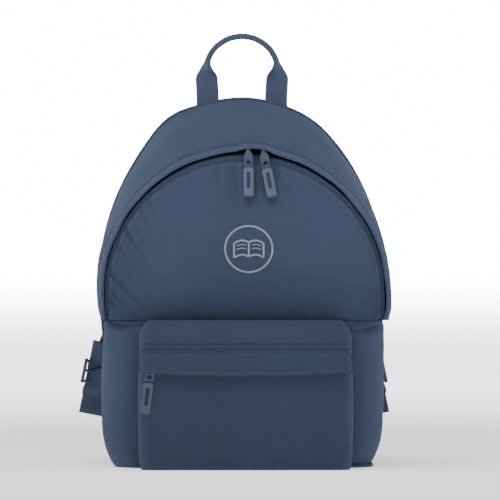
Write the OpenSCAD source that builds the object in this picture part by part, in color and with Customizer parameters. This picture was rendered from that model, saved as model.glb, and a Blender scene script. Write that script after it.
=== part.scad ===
// School backpack: one main compartment with an arched two-way zip, a zipped front
// pocket with a cover flap, a twisted grab handle and two padded shoulder straps.
// Millimetres, +Z up, the front faces -Y. The origin is the middle of the base of the
// main compartment, on the surface that the bag stands on.

/* [Body] */
// Width across the zip flap, the widest place
body_w = 310; // [290:1:340]
// Height of the back panel
body_h = 398; // [370:1:440]
// Depth of the main compartment at its base
base_d = 150; // [125:1:190]
// How much narrower the lower body is than the zip flap, each side
lower_in = 4; // [0:1:10]
// Height of the cross seam that joins the upper bag to the lower body
seam_h = 156; // [140:1:180]
// Straight stretch of the zip between the cross seam and its arch
leg = 32; // [20:1:44]
// Backward lean of the front panel, in degrees
lean = 12; // [8:1:15]
// Radius of the lower body's front corners
corner_r = 42; // [25:1:55]
// How far the lower body draws in at the floor, each side
base_tuck = 11; // [4:1:16]
// Thickness of a cloth wall
cloth = 2.4; // [1.6:0.1:3.2]
// Thickness of the foam in the back panel
back_foam_t = 8; // [5:0.5:12]
// Thickness of the stiff base sheet
base_t = 3; // [2:0.5:5]

/* [Front panel] */
// How far the panel bulges in front of its rim
crown = 11; // [6:0.5:13]
// Radius of the flat top of the bulge
crown_r = 42; // [30:1:55]
// Outer radius of the embroidered badge
badge_r = 26; // [18:1:30]
// Height of the badge's stitching
badge_t = 0.8; // [0.5:0.1:1.2]
// How far the front panel folds forward, in degrees
panel_swing = 65; // [40:1:65]

/* [Zips] */
// Thickness of the zip tape
tape_t = 0.8; // [0.6:0.1:1]
// Width of each zip tape
tape_w = 11; // [9:0.5:14]
// Thickness of a row of teeth
teeth_t = 1.5; // [1.2:0.1:1.8]
// Width of a row of teeth
teeth_w = 2.6; // [2:0.1:3.2]
// Gap between the two rows, which the slider's neck runs in
teeth_gap = 1.2; // [1:0.1:1.6]
// Length of a slider
slider_l = 13; // [10:0.5:16]
// Width of a slider
slider_w = 10; // [9:0.5:12]
// Thickness of each plate of a slider
plate_t = 1.4; // [1:0.1:1.8]
// Height of the bridge over the slider's top plate
bridge_h = 3.2; // [3:0.1:4]
// Sideways place where the two main sliders meet
meet_x = 11.8; // [-20:0.2:20]
// Gap between the two main sliders when the zip is shut
slider_gap = 2.5; // [1.5:0.1:5]

/* [Zip pulls] */
// Width of the metal tab
tab_w = 9.3; // [8:0.1:11]
// Thickness of the metal tab
tab_t = 1.2; // [1:0.1:1.6]
// Distance from the tab's pivot to its hole
tab_hole_at = 14; // [12:0.5:18]
// Radius of the hole in the tab
tab_hole_r = 2.7; // [2.4:0.1:3]
// Height of the metal left below the hole
tab_rim = 1.8; // [1.5:0.1:2]
// Width of the moulded grip
grip_w = 10.7; // [9:0.1:12]
// Thickness of the moulded grip
grip_t = 4.2; // [3:0.1:5]
// Length of the moulded grip
grip_l = 33; // [24:1:38]
// Tilt of the right pull as it hangs, in degrees
right_tilt = 10; // [8:1:20]
// Tilt of the pocket pull as it hangs, in degrees
pocket_tilt = 7; // [0:1:12]

/* [Front pocket] */
// Width of the pocket
pocket_w = 228; // [190:1:240]
// Depth of the pocket
pocket_d = 42; // [30:1:60]
// Height of the pocket's zip
pocket_zip_z = 112; // [100:1:118]
// Width of each tape of the pocket's zip
pocket_tape_w = 7; // [6:0.5:7.5]
// Drop of the cover flap over the zip
flap_drop = 23; // [20:0.5:26]
// Thickness of the two cover flaps
flap_t = 1.6; // [1.2:0.1:2]
// Thickness of the seam tape inside the bag
seam_tape_t = 1.2; // [0.8:0.1:1.6]

/* [Handle] */
// Width of the handle webbing
handle_web_w = 24; // [20:1:30]
// Thickness of all the webbing
web_t = 1.6; // [1.2:0.1:2]
// Half the distance between the handle's two legs
handle_x = 37; // [30:1:45]
// Height of the top of the handle over the back panel
handle_rise = 62; // [50:1:80]
// Width of the folded hand grip
grip_fold_w = 13; // [10:1:16]
// Thickness of the folded hand grip
grip_fold_t = 4.4; // [3:0.1:6]

/* [Shoulder straps] */
// Distance from the top of the back panel down to the tops of the straps
strap_drop = 40; // [30:1:60]
// Width of a padded strap at its top
strap_w = 60; // [50:1:66]
// Width of a padded strap at its lower end
strap_end_w = 40; // [36:1:46]
// Thickness of a padded strap
strap_t = 12; // [8:0.5:14]
// Thickness of the cloth sleeve round the strap's foam
sleeve_t = 1.6; // [1.2:0.1:2]
// Width of the adjuster webbing
adjuster_w = 30; // [25:1:32]
// Length of the free tail of webbing
tail_l = 46; // [30:1:60]
// Thickness of the ladder lock
lock_t = 3.2; // [2.4:0.1:4]
// How much nearer the middle the right strap hangs
right_draw = 16; // [0:1:20]

/* [Fit] */
// Clearance between neighbouring soft pieces
clear = 0.3; // [0.2:0.05:0.5]
// Running clearance of a pin in its bore
run_clear = 0.08; // [0.05:0.01:0.1]

/* [Hidden] */

navy = [0.17, 0.22, 0.31];
navy_dark = [0.13, 0.17, 0.25];
navy_light = [0.26, 0.31, 0.41];
silver = [0.46, 0.5, 0.53];
foam_grey = [0.8, 0.8, 0.78];

// ---- derived sizes ----
half_w = body_w / 2;
half_low = half_w - lower_in;
back_y = base_d / 2;
front_y = -base_d / 2;
back_zc = seam_h + leg;
back_rise = body_h - back_zc;
plate_gap = 1.1;
slider_rise = plate_gap + plate_t + bridge_h;
flap_r = half_w - flap_t;
zip_r = flap_r - clear - slider_rise;
zip_n = -10;
gusset_r = zip_r + tape_t / 2 + clear + cloth;
gusset_n = zip_n - teeth_gap / 2 - teeth_w - 4.5;
panel_r = zip_r - 1.4;
steps = 36;

// World point of the front panel's own frame: x across, v up the panel, n forward of its rim.
function wp(x, v, n) = [
    x,
    front_y + v * sin(lean) - n * cos(lean),
    seam_h + v * cos(lean) + n * sin(lean)
];

// Lowest v at which a point n forward of the rim is clear above the cross seam.
function foot_v(n) = (clear - n * sin(lean)) / cos(lean);

// Places children in the front panel's own frame.
module on_panel() {
    translate([0, front_y, seam_h]) rotate([90 - lean, 0, 0]) children();
}

// ---- solids from rings ----
// A closed solid through rings of points; every ring has the same number of points.
module skin(rings) {
    n = len(rings);
    m = len(rings[0]);
    polyhedron(
        points = [for (r = rings) each r],
        faces = concat(
            [for (i = [0:n - 2], j = [0:m - 1]) [i * m + j, (i + 1) * m + (j + 1) % m, i * m + (j + 1) % m]],
            [for (i = [0:n - 2], j = [0:m - 1]) [i * m + j, (i + 1) * m + j, (i + 1) * m + (j + 1) % m]],
            [[for (j = [0:m - 1]) j]],
            [[for (j = [m - 1:-1:0]) (n - 1) * m + j]]
        ),
        convexity = 10
    );
}

// Stations round the arch, from the left foot to the right foot: angle, then 1 on the
// arch or 0 at a foot.
arch_stations = concat([[180, 0]], [for (i = [0:steps]) [180 - 180 * i / steps, 1]], [[0, 0]]);

// A point at radius r and depth n at one station of the arch.
function arch_pt(st, r, n) = wp(
    r * cos(st[0]),
    st[1] == 1 ? leg + r * sin(st[0]) : foot_v(n),
    n
);

// A band with a constant section swept round the arch; section holds [radius, n] points.
module arch_band(section) {
    skin([for (st = arch_stations) [for (p = section) arch_pt(st, p[0], p[1])]]);
}

// A point of the back outline at one station, drawn in by inset.
function back_pt(st, inset, y) = [
    (st[1] == 1 ? half_w - inset : half_low - inset) * cos(st[0]),
    y,
    st[1] == 1 ? back_zc + (back_rise - inset) * sin(st[0]) : seam_h + clear
];

// ---- the lower body's outline ----
// Height and draw-in of the side wall.
tuck = [[0, base_tuck], [8, base_tuck * 0.55], [28, base_tuck * 0.12], [60, 0]];

// Plan of the lower body as an open U from the back left to the back right.
function plan(half, y_front, r) = concat(
    [[-half, back_y]],
    [for (i = [0:8]) let (a = 180 + 90 * i / 8) [-half + r + r * cos(a), y_front + r + r * sin(a)]],
    [for (i = [0:8]) let (a = 270 + 90 * i / 8) [half - r + r * cos(a), y_front + r + r * sin(a)]],
    [[half, back_y]]
);

// One level of the lower body's wall, outside or inside.
function wall_plan(draw, inset) = plan(half_low - draw - inset, front_y + inset, corner_r - inset);

// Back panel outline in x and z, drawn in by inset all round.
function back_outline(inset) = concat(
    [for (i = [0:steps]) let (a = 180 * i / steps)
        [(half_w - inset) * cos(a), back_zc + (back_rise - inset) * sin(a)]],
    [[-half_low + inset, seam_h], [-half_low + inset, tuck[3][0]]],
    [for (i = [2:-1:1]) [-half_low + tuck[i][1] + inset, max(tuck[i][0], inset)]],
    [[-half_low + tuck[0][1] + inset, inset], [half_low - tuck[0][1] - inset, inset]],
    [for (i = [1:2]) [half_low - tuck[i][1] - inset, max(tuck[i][0], inset)]],
    [[half_low - inset, tuck[3][0]], [half_low - inset, seam_h]]
);

// A flat sheet of the back panel's outline between two depths.
module back_sheet(inset, y0, y1) {
    translate([0, y1, 0]) rotate([90, 0, 0]) linear_extrude(y1 - y0) polygon(back_outline(inset));
}

// ---- back ----
seam_gap = web_t + 2 * clear;
panel_back_y = back_y + seam_gap;
back_out_y = panel_back_y + cloth;

module back_panel() {
    color(navy) back_sheet(0, panel_back_y, back_out_y);
}

foam_in_y = back_y - clear - back_foam_t;
foam_inset = cloth + clear + 1.4 * back_foam_t;

module back_foam() {
    color(foam_grey) back_sheet(foam_inset, foam_in_y, back_y - clear);
}

module back_lining() {
    color(navy_dark) back_sheet(foam_inset, foam_in_y - clear - cloth / 2, foam_in_y - clear);
}

// Binding round the back seam, cut where the handle's feet are sewn in.
module back_seam_tape() {
    color(navy_dark) difference() {
        back_sheet(1, back_y + clear, panel_back_y - clear);
        back_sheet(11, back_y, panel_back_y);
        for (s = [-1, 1])
            translate([s * handle_x - handle_web_w / 2 - 1, back_y, body_h - 45]) cube([handle_web_w + 2, seam_gap, 60]);
    }
}

// ---- base and lower body ----
module base_sheet() {
    color(navy_dark) linear_extrude(base_t)
        polygon(concat(
            [for (p = wall_plan(base_tuck, cloth + clear)) [p[0], min(p[1], back_y - clear)]]
        ));
}

module lower_wrap() {
    top = seam_h - clear;
    levels = concat(tuck, [[top, 0]]);
    outer = [for (l = levels) wall_plan(l[1], 0)];
    inner = [for (l = levels) wall_plan(l[1], cloth)];
    k = len(levels);
    color(navy) skin([for (i = [0:len(outer[0]) - 1]) concat(
        [for (j = [k - 1:-1:0]) [inner[j][i][0], inner[j][i][1], levels[j][0]]],
        [for (j = [0:k - 1]) [outer[j][i][0], outer[j][i][1], levels[j][0]]]
    )]);
}

// Tape bound over the cross seam's raw edge, inside the lower body.
module cross_seam_tape() {
    inset = cloth + clear;
    z0 = seam_h - 16;
    z1 = seam_h - 5;
    outer = wall_plan(0, inset);
    inner = wall_plan(0, inset + seam_tape_t);
    back = foam_in_y - cloth - 2;
    color(navy_dark) skin([for (i = [0:len(outer) - 1]) let (
        o = [outer[i][0], min(outer[i][1], back)],
        q = [inner[i][0], min(inner[i][1], back)]
    ) [[q[0], q[1], z1], [q[0], q[1], z0], [o[0], o[1], z0], [o[0], o[1], z1]]]);
}

// ---- top gusset ----
module top_gusset() {
    bulge = 3;
    color(navy) skin([for (st = arch_stations)
        let (
            fo = arch_pt(st, gusset_r, gusset_n),
            fi = arch_pt(st, gusset_r - cloth, gusset_n),
            bo = back_pt(st, 0, back_y),
            bi = back_pt(st, cloth, back_y),
            out = [cos(st[0]), 0, st[1] * sin(st[0])] * bulge,
            mo = (fo + bo) / 2 + out,
            mi = (fi + bi) / 2 + out
        )
        [bi, mi, fi, fo, mo, bo]
    ]);
}

// The flap that shields the main zip, sewn to the gusset's front edge.
flap_root_n = gusset_n + 1;
flap_lip_n = 1;

module main_zip_flap() {
    root_r = gusset_r + clear;
    color(navy_light) arch_band([
        [flap_r, flap_lip_n], [flap_r, flap_root_n + 2.4], [root_r, flap_root_n],
        [root_r + flap_t, flap_root_n - 2], [flap_r + flap_t, flap_root_n + 0.6], [flap_r + flap_t, flap_lip_n]
    ]);
}

// ---- main zip ----
row_in = teeth_gap / 2;
row_out = teeth_gap / 2 + teeth_w;

module gusset_zip_tape() {
    color(navy_dark) arch_band([
        [zip_r - tape_t / 2, zip_n - row_out - clear], [zip_r - tape_t / 2, zip_n - row_out - tape_w],
        [zip_r + tape_t / 2, zip_n - row_out - tape_w], [zip_r + tape_t / 2, zip_n - row_out - clear]
    ]);
}

module gusset_zip_teeth() {
    color(navy_dark) arch_band([
        [zip_r - teeth_t / 2, zip_n - row_in], [zip_r - teeth_t / 2, zip_n - row_out],
        [zip_r + teeth_t / 2, zip_n - row_out], [zip_r + teeth_t / 2, zip_n - row_in]
    ]);
}

module panel_zip_teeth() {
    color(navy_dark) arch_band([
        [zip_r - teeth_t / 2, zip_n + row_out], [zip_r - teeth_t / 2, zip_n + row_in],
        [zip_r + teeth_t / 2, zip_n + row_in], [zip_r + teeth_t / 2, zip_n + row_out]
    ]);
}

// The panel's tape turns in behind the front panel's rim, where it is sewn.
module panel_zip_tape() {
    turn = -cloth - clear;
    color(navy_dark) arch_band([
        [panel_r - 6, turn], [panel_r - 6, turn - tape_t], [zip_r - tape_t / 2, turn - tape_t],
        [zip_r - tape_t / 2, zip_n + row_out + clear], [zip_r + tape_t / 2, zip_n + row_out + clear],
        [zip_r + tape_t / 2, turn]
    ]);
}

// Metal stops clamped on the foot of each row on the gusset's side.
module main_zip_stops() {
    stop_v = foot_v(zip_n) + 5;
    color(navy_dark) for (s = [-1, 1])
        on_panel() translate([s * zip_r - 1.6, stop_v, zip_n - row_out - 0.3 - 1.2]) difference() {
            cube([3.2, 3, 1.2]);
            translate([1.6 - tape_t / 2 - 0.1, -1, -1]) cube([tape_t + 0.2, 5, 4]);
        }
}

// ---- front panel ----
// A closed outline of the panel: k runs from 0 at the rim to 1 at the flat top of the bulge.
panel_top = [0, leg + crown_r + 4];
function panel_ring(k, r, n) = [
    for (q = concat(
        [for (i = [0:steps]) let (a = 180 * i / steps) [r * cos(a), leg + r * sin(a), crown_r * cos(a), crown_r * sin(a)]],
        [for (i = [0:9]) let (x = -1 + 2 * i / 9, a = 180 + 18 * (i + 0.5))
            [r * x, foot_v(n), crown_r * cos(a), crown_r * sin(a)]]
    )) wp(q[0] * (1 - k) + (panel_top[0] + q[2]) * k, q[1] * (1 - k) + (panel_top[1] + q[3]) * k, n)
];

// Height of the bulge at k.
function bulge(k) = crown * (1 - pow(1 - k, 1.15));

module front_panel() {
    ks = [0, 0.12, 0.26, 0.42, 0.6, 0.8, 1];
    m = len(ks);
    color(navy) skin(concat(
        [for (i = [m - 1:-1:0]) panel_ring(ks[i], panel_r - 0.4, bulge(ks[i]) - cloth)],
        [for (i = [0:m - 1]) panel_ring(ks[i], panel_r, bulge(ks[i]))]
    ));
}

// A round badge: a ring round an open book, in raised thread.
badge_x = 5;
module badge() {
    line = 2.2;
    color(silver) on_panel() translate([badge_x, leg + crown_r + 4, crown + clear / 2]) linear_extrude(badge_t) {
        difference() {
            circle(r = badge_r, $fn = 64);
            circle(r = badge_r - line, $fn = 64);
        }
        for (s = [-1, 1]) mirror([s < 0 ? 1 : 0, 0, 0]) difference() {
            polygon([[0.6, -9], [15, -6], [15, 9], [0.6, 6]]);
            polygon([[0.6 + line, -9 + line * 1.6], [15 - line, -6 + line], [15 - line, 9 - line * 1.3],
                [0.6 + line, 6 - line]]);
        }
    }
}

// ---- sliders ----
// In a slider's own frame x runs along the zip, y stands off the zip's face and z runs
// across the two rows. The neck rides in the gap between the rows.
module slider_body() {
    neck_l = 4;
    for (s = [-1, 1])
        translate([-slider_l / 2, s > 0 ? plate_gap : -plate_gap - plate_t, -slider_w / 2]) cube([slider_l, plate_t, slider_w]);
    translate([-slider_l / 2 + 0.5, -plate_gap - 0.1, -(teeth_gap - 0.4) / 2])
        cube([neck_l, 2 * plate_gap + 0.2, teeth_gap - 0.4]);
}

pin_r = 0.9;
pin_y = plate_gap + plate_t + bridge_h / 2;
main_tab_n = 1.5 + crown / 2;
eye_w = 5;

module main_slider_shape() {
    difference() {
        union() {
            slider_body();
            translate([-bridge_h / 2 - 0.6, plate_gap + plate_t - 0.1, -eye_w / 2]) cube([bridge_h + 1.2, bridge_h / 2 + 0.1, eye_w]);
            translate([0, pin_y, -eye_w / 2]) cylinder(r = bridge_h / 2, h = eye_w, $fn = 48);
        }
        translate([0, pin_y, -eye_w]) cylinder(r = pin_r + run_clear, h = 2 * eye_w, $fn = 48);
    }
}

// Angle of each main slider round the arch, from the top, positive to the right.
slider_half_step = (slider_l + slider_gap) / 2;
meet_angle = asin(meet_x / zip_r);
angle_left = meet_angle - slider_half_step / zip_r * 180 / PI;
angle_right = meet_angle + slider_half_step / zip_r * 180 / PI;

// Places children in the frame of a slider on the main zip.
module on_main_zip(angle) {
    on_panel() translate([0, leg, 0]) rotate([0, 0, -angle]) translate([0, zip_r, zip_n]) children();
}

// Places children at a main pull's pivot, hanging straight down the panel but for its tilt.
module on_main_pull(angle, tilt) {
    on_main_zip(angle) translate([0, pin_y, -zip_n + main_tab_n]) rotate([0, 0, angle + tilt]) children();
}

// ---- zip pulls ----
// In a pull's own frame the pivot is the origin, -y runs down the tab and z faces forward.
rim_centre = tab_hole_at + tab_hole_r + tab_rim / 2;

module tab_plate(top_r) {
    difference() {
        union() {
            translate([-tab_w / 2, -tab_hole_at - tab_hole_r - tab_rim, -tab_t / 2])
                cube([tab_w, tab_hole_at + tab_hole_r + tab_rim - 6, tab_t]);
            translate([0, 0, -tab_t / 2]) linear_extrude(tab_t)
                polygon([[-tab_w / 2, -6], [-top_r, -0.4], [top_r, -0.4], [tab_w / 2, -6]]);
            translate([0, 0, -tab_t / 2]) cylinder(r = top_r, h = tab_t, $fn = 48);
        }
        translate([0, -tab_hole_at, -tab_t]) cylinder(r = tab_hole_r, h = 2 * tab_t, $fn = 48);
    }
}

// The main pulls' tab is cranked: its top is a pin that turns in the slider's bridge.
module main_tab_shape() {
    reach = -zip_n + main_tab_n;
    tab_plate(1.9);
    translate([0, 0, -reach - eye_w / 2 - 0.6]) cylinder(r = pin_r, h = reach + eye_w / 2 + 0.6, $fn = 48);
    translate([0, 0, -reach - eye_w / 2 - 1]) cylinder(r = 1.3, h = 0.8, $fn = 48);
}

// The pocket pull's tab has an eye that turns on the slider's stud.
module pocket_tab_shape() {
    difference() {
        tab_plate(3);
        translate([0, 0, -tab_t]) cylinder(r = stud_r + run_clear, h = 2 * tab_t, $fn = 48);
    }
}

link_r = 0.7;
link_bend_r = tab_rim / 2 + link_r + 0.55;
grip_top = link_bend_r + link_r - 0.2;

// The moulded grip in its own frame, whose origin is the middle of the tab's lower rim.
module grip_shape() {
    r = 2;
    rotate([0, 90, 0]) rotate_extrude($fn = 48) translate([link_bend_r, 0]) circle(r = link_r, $fn = 24);
    difference() {
        translate([0, 0, -grip_t / 2]) linear_extrude(grip_t) union() {
            translate([-grip_w / 2 + r, -grip_top - grip_l]) square([grip_w - 2 * r, grip_l]);
            translate([-grip_w / 2, -grip_top - grip_l + r]) square([grip_w, grip_l - 2 * r]);
            for (x = [-1, 1], y = [-grip_top - r, -grip_top - grip_l + r])
                translate([x * (grip_w / 2 - r), y]) circle(r = r, $fn = 32);
        }
        translate([-1.9, -grip_top - grip_l * 0.72, grip_t / 2 - 1.2]) cube([3.8, grip_l * 0.56, 2]);
    }
}

module main_grip(angle, tilt) {
    color(navy_light) on_main_pull(angle, tilt) translate([0, -rim_centre, 0]) rotate([-lean, 0, 0]) grip_shape();
}

module slider_left() { color(navy_light) on_main_zip(angle_left) main_slider_shape(); }
module slider_right() { color(navy_light) on_main_zip(angle_right) mirror([1, 0, 0]) main_slider_shape(); }
module tab_left() { color(navy_light) on_main_pull(angle_left, 0) main_tab_shape(); }
module tab_right() { color(navy_light) on_main_pull(angle_right, right_tilt) main_tab_shape(); }
module grip_left() { main_grip(angle_left, 0); }
module grip_right() { main_grip(angle_right, right_tilt); }

// ---- front pocket ----
pocket_half = pocket_w / 2;
pocket_y = front_y - pocket_d;
shell_y = pocket_y - tape_t / 2 - clear;
pocket_face_y = shell_y - cloth;
flap_hinge_z = pocket_zip_z + slider_w / 2 + 6;
flap_hinge_y = pocket_face_y - clear - flap_t / 2;
pocket_lower_z = pocket_zip_z - slider_w / 2 - 0.5;
pocket_upper_z = pocket_zip_z + slider_w / 2 + 0.5;

module pocket_side(s) {
    color(navy) translate([s > 0 ? pocket_half - cloth : -pocket_half, 0, 0])
        rotate([90, 0, 90]) linear_extrude(cloth) polygon([
            [front_y - clear, 0], [pocket_face_y, 0], [pocket_face_y, flap_hinge_z],
            [pocket_face_y + 5, flap_hinge_z + 12], [front_y - 20, seam_h - 9], [front_y - clear, seam_h - 1]
        ]);
}

// A sheet between the pocket's sides, its y and z outline extruded across the pocket.
module pocket_strip(outline) {
    in = pocket_half - cloth - clear;
    translate([-in, 0, 0]) rotate([90, 0, 90]) linear_extrude(2 * in) polygon(outline);
}

module pocket_base() {
    color(navy) pocket_strip([
        [front_y - clear, 0], [front_y - clear, cloth], [shell_y + clear, cloth], [shell_y + clear, 0]
    ]);
}

module pocket_front() {
    color(navy) pocket_strip([
        [shell_y, 0], [pocket_face_y, 0], [pocket_face_y, pocket_lower_z], [shell_y, pocket_lower_z]
    ]);
}

module pocket_top() {
    color(navy) pocket_strip([
        [shell_y, pocket_upper_z], [pocket_face_y, pocket_upper_z], [pocket_face_y, flap_hinge_z],
        [pocket_face_y + 5, flap_hinge_z + 12], [front_y - 20, seam_h - 9], [front_y - clear, seam_h - 1],
        [front_y - clear, seam_h - 1 - cloth], [front_y - 20 + 1, seam_h - 9 - cloth],
        [pocket_face_y + 5 + cloth, flap_hinge_z + 12 - 1], [shell_y, flap_hinge_z]
    ]);
}

module pocket_zip_tapes() {
    color(navy_dark) for (s = [-1, 1])
        translate([-pocket_half + cloth + clear, pocket_y - tape_t / 2, pocket_zip_z + (s > 0 ? row_out + clear : -row_out - pocket_tape_w)])
            cube([pocket_w - 2 * cloth - 2 * clear, tape_t, pocket_tape_w - clear]);
}

module pocket_zip_teeth() {
    color(navy_dark) for (s = [-1, 1])
        translate([-pocket_half + cloth + 3, pocket_y - teeth_t / 2, pocket_zip_z + (s > 0 ? row_in : -row_out)])
            cube([pocket_w - 2 * cloth - 6, teeth_t, teeth_w]);
}

module pocket_zip_stops() {
    color(navy_dark) for (s = [-1, 1])
        translate([s * (pocket_half - cloth - 1.6) - 1, pocket_y - 1.4, pocket_zip_z - row_out])
            cube([2, 2.8 / 2 + 1.4, 2 * row_out]);
}

stud_r = 1.2;
pocket_tab_rise = cloth + tape_t / 2 + clear + 0.8 + grip_t / 2;
stud_top = pocket_tab_rise + tab_t / 2 + 0.7;
pocket_slider_x = -pocket_half + cloth + 5.5 + slider_l / 2;

// Places children in the frame of the pocket's slider.
module on_pocket_zip() {
    translate([pocket_slider_x, pocket_y, pocket_zip_z]) rotate([180, 0, 0]) children();
}

module pocket_slider() {
    color(navy_light) on_pocket_zip() {
        slider_body();
        translate([0, plate_gap + plate_t - 0.2, 0]) rotate([-90, 0, 0]) cylinder(r = stud_r, h = stud_top - plate_gap - plate_t + 0.2, $fn = 48);
        translate([0, stud_top - 0.6, 0]) rotate([-90, 0, 0]) cylinder(r = stud_r + 0.9, h = 0.6, $fn = 48);
    }
}

// Places children at the pocket pull's pivot.
module on_pocket_pull() {
    translate([pocket_slider_x, pocket_y - pocket_tab_rise, pocket_zip_z]) rotate([90, 0, 0]) rotate([0, 0, -pocket_tilt]) children();
}

module pocket_tab() { color(navy_light) on_pocket_pull() pocket_tab_shape(); }
module pocket_grip() { color(navy_light) on_pocket_pull() translate([0, -rim_centre, 0]) grip_shape(); }

// The cover flap hangs clear of the slider, which runs behind it.
flap_lip_y = pocket_y - stud_top - 0.7;

module pocket_flap() {
    lip_z = flap_hinge_z - flap_drop;
    color(navy) translate([-pocket_half + 0.5, 0, 0]) rotate([90, 0, 90]) linear_extrude(pocket_w - 1) polygon([
        [flap_hinge_y + flap_t / 2, flap_hinge_z], [flap_hinge_y - flap_t / 2, flap_hinge_z],
        [flap_lip_y - flap_t, pocket_zip_z + 5], [flap_lip_y - flap_t, lip_z],
        [flap_lip_y, lip_z], [flap_lip_y, pocket_zip_z + 4]
    ]);
}

// ---- handle ----
handle_y = back_y + seam_gap / 2;
handle_axis_z = body_h - 1;
handle_top_z = body_h + handle_rise;
handle_leg_z = handle_top_z - 34;

// Half of the handle from its left foot to its top: x, z, twist from 0 to 1.
function handle_pt(t) =
    t < 0.4
        ? [-handle_x - 1 + cos(900 * t), handle_axis_z + 0.3 + (handle_leg_z - handle_axis_z - 0.3) * t / 0.4, 0]
        : let (u = (t - 0.4) / 0.6, a = 180 - 90 * u)
            [handle_x * 1.0 * cos(a), handle_leg_z + (handle_top_z - grip_fold_t / 2 - handle_leg_z) * sin(a), min(1, u * 2.6)];

module handle_loop() {
    k = 18;
    ts = concat([for (i = [0:k]) i / k], [for (i = [k - 1:-1:0]) -i / k]);
    full = [for (i = [0:len(ts) - 1]) let (p = handle_pt(abs(ts[i]))) [i > k ? -p[0] : p[0], p[1], p[2]]];
    color(navy) skin([for (i = [0:len(full) - 1])
        let (
            a = full[max(0, i - 1)],
            b = full[min(len(full) - 1, i + 1)],
            d = [b[0] - a[0], b[1] - a[1]] / norm([b[0] - a[0], b[1] - a[1]]),
            s = full[i][2] * full[i][2] * (3 - 2 * full[i][2]),
            tw = 90 * s * (i > k ? -1 : 1),
            w = (handle_web_w + (grip_fold_w - handle_web_w) * s) / 2,
            h = (web_t + (grip_fold_t - web_t) * s) / 2,
            side = [d[1] * cos(tw), sin(tw), -d[0] * cos(tw)],
            up = [-d[1] * sin(tw), cos(tw), d[0] * sin(tw)],
            c = [full[i][0], handle_y, full[i][1]]
        )
        [c + side * w + up * h, c - side * w + up * h, c - side * w - up * h, c + side * w - up * h]
    ]);
}

module handle_feet() {
    foot_l = 24;
    color(navy) for (s = [-1, 1])
        translate([s * handle_x - handle_web_w / 2, handle_y - web_t / 2, handle_axis_z - 1 - foot_l])
            cube([handle_web_w, web_t, foot_l]);
}

// ---- shoulder straps ----
// The sewn ends that a strap swings between: x, height.
strap_top = [44, body_h - strap_drop];
strap_foot = [143, 32];
strap_foot_y = 3.2;
half_t = strap_t / 2;

// Height on a strap that is shared out between its top and its lower end.
strap_end_z = 117;
function fall(z) = strap_end_z + (z - strap_end_z) * (strap_top[1] - strap_end_z) / 241;

// A strap's route from the yoke to its lower end: x, depth behind the back panel, z, width.
strap_route = [
    [44, 3.2 + half_t, fall(358), strap_w], [45, 7 + half_t, fall(346), strap_w],
    [47, 14 + half_t, fall(330), strap_w], [51, 23 + half_t, fall(306), strap_w],
    [58, 29 + half_t, fall(280), strap_w], [68, 31 + half_t, fall(252), strap_w],
    [80, 31 + half_t, fall(224), strap_w - 2], [95, 28 + half_t, fall(194), strap_w - 6],
    [115, 22 + half_t, fall(163), strap_end_w + 8], [134, 16 + half_t, fall(137), strap_end_w + 3],
    [146, 12 + half_t, fall(117), strap_end_w]
];
lock_at = [154, 9 + half_t, 95];
lock_dir = [0.2, 0, -0.98];

// Places a point of the route on one side; the right strap hangs nearer the middle.
function drawn(p, s) = s > 0 ? p[0] - right_draw * max(0, min(1, (300 - p[2]) / 170)) : p[0];
function route(s) = [for (p = strap_route) [drawn(p, s), p[1], p[2], p[3]]];

// A station of a strap: centre, direction across, direction through its thickness.
function strap_frame(pts, i) =
    let (
        a = pts[max(0, i - 1)], b = pts[min(len(pts) - 1, i + 1)],
        d = [b[0] - a[0], b[1] - a[1], b[2] - a[2]],
        t = d / norm(d),
        side = cross(t, [0, 1, 0]) / norm(cross(t, [0, 1, 0]))
    ) [[pts[i][0], back_out_y + pts[i][1], pts[i][2]], side, cross(side, t), t];

// A ring with rounded edges at one station.
function strap_ring(c, f, w, h, r) = [
    for (q = [[-w + r, -h], [-w, -h + r], [-w, h - r], [-w + r, h], [w - r, h], [w, h - r], [w, -h + r], [w - r, -h]])
        c + f[1] * q[0] + f[2] * q[1]
];

// A strap solid along a route; shrink draws it in all round, over runs it past its ends.
module strap_sweep(pts, shrink, over_top, over_end) {
    last = len(pts) - 1;
    skin([for (i = [0:last])
        let (f = strap_frame(pts, i), ends = i == 0 ? -over_top : i == last ? over_end : 0)
        strap_ring(f[0] + f[3] * ends, f, pts[i][3] / 2 - shrink, half_t - shrink, (half_t - shrink) * 0.6)
    ]);
}

// Half space below (or above) a plane across the swing axis, so that the swing keeps its gap.
strap_axis = [strap_foot[0] - strap_top[0], 0, strap_foot[1] - strap_top[1]];
axis_tilt = atan2(strap_axis[0], -strap_axis[2]);
root_cut = 22;

module axis_slab(from, to) {
    translate([strap_top[0], back_out_y, strap_top[1]]) rotate([0, -axis_tilt, 0])
        translate([-150, -20, -to]) cube([300, 100, to - from]);
}

module on_side(s) { mirror([s > 0 ? 0 : 1, 0, 0]) children(); }

module strap_root(s) {
    color(navy) on_side(s) intersection() {
        strap_sweep([for (i = [0:3]) route(s)[i]], 0, 0, 0);
        axis_slab(-60, root_cut - clear);
    }
}

module strap_sleeve(s) {
    color(navy) on_side(s) difference() {
        strap_sweep(route(s), 0, 0, 0);
        strap_sweep(route(s), sleeve_t, 2, -sleeve_t);
        axis_slab(-60, root_cut);
    }
}

module strap_foam(s) {
    color(foam_grey) on_side(s) intersection() {
        strap_sweep(route(s), sleeve_t + clear, 0, -sleeve_t - clear);
        axis_slab(root_cut + 1, 400);
    }
}

module strap_yoke() {
    color(navy) translate([-69, back_out_y + clear, strap_top[1] - 14]) cube([138, cloth, 24]);
}

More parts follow.
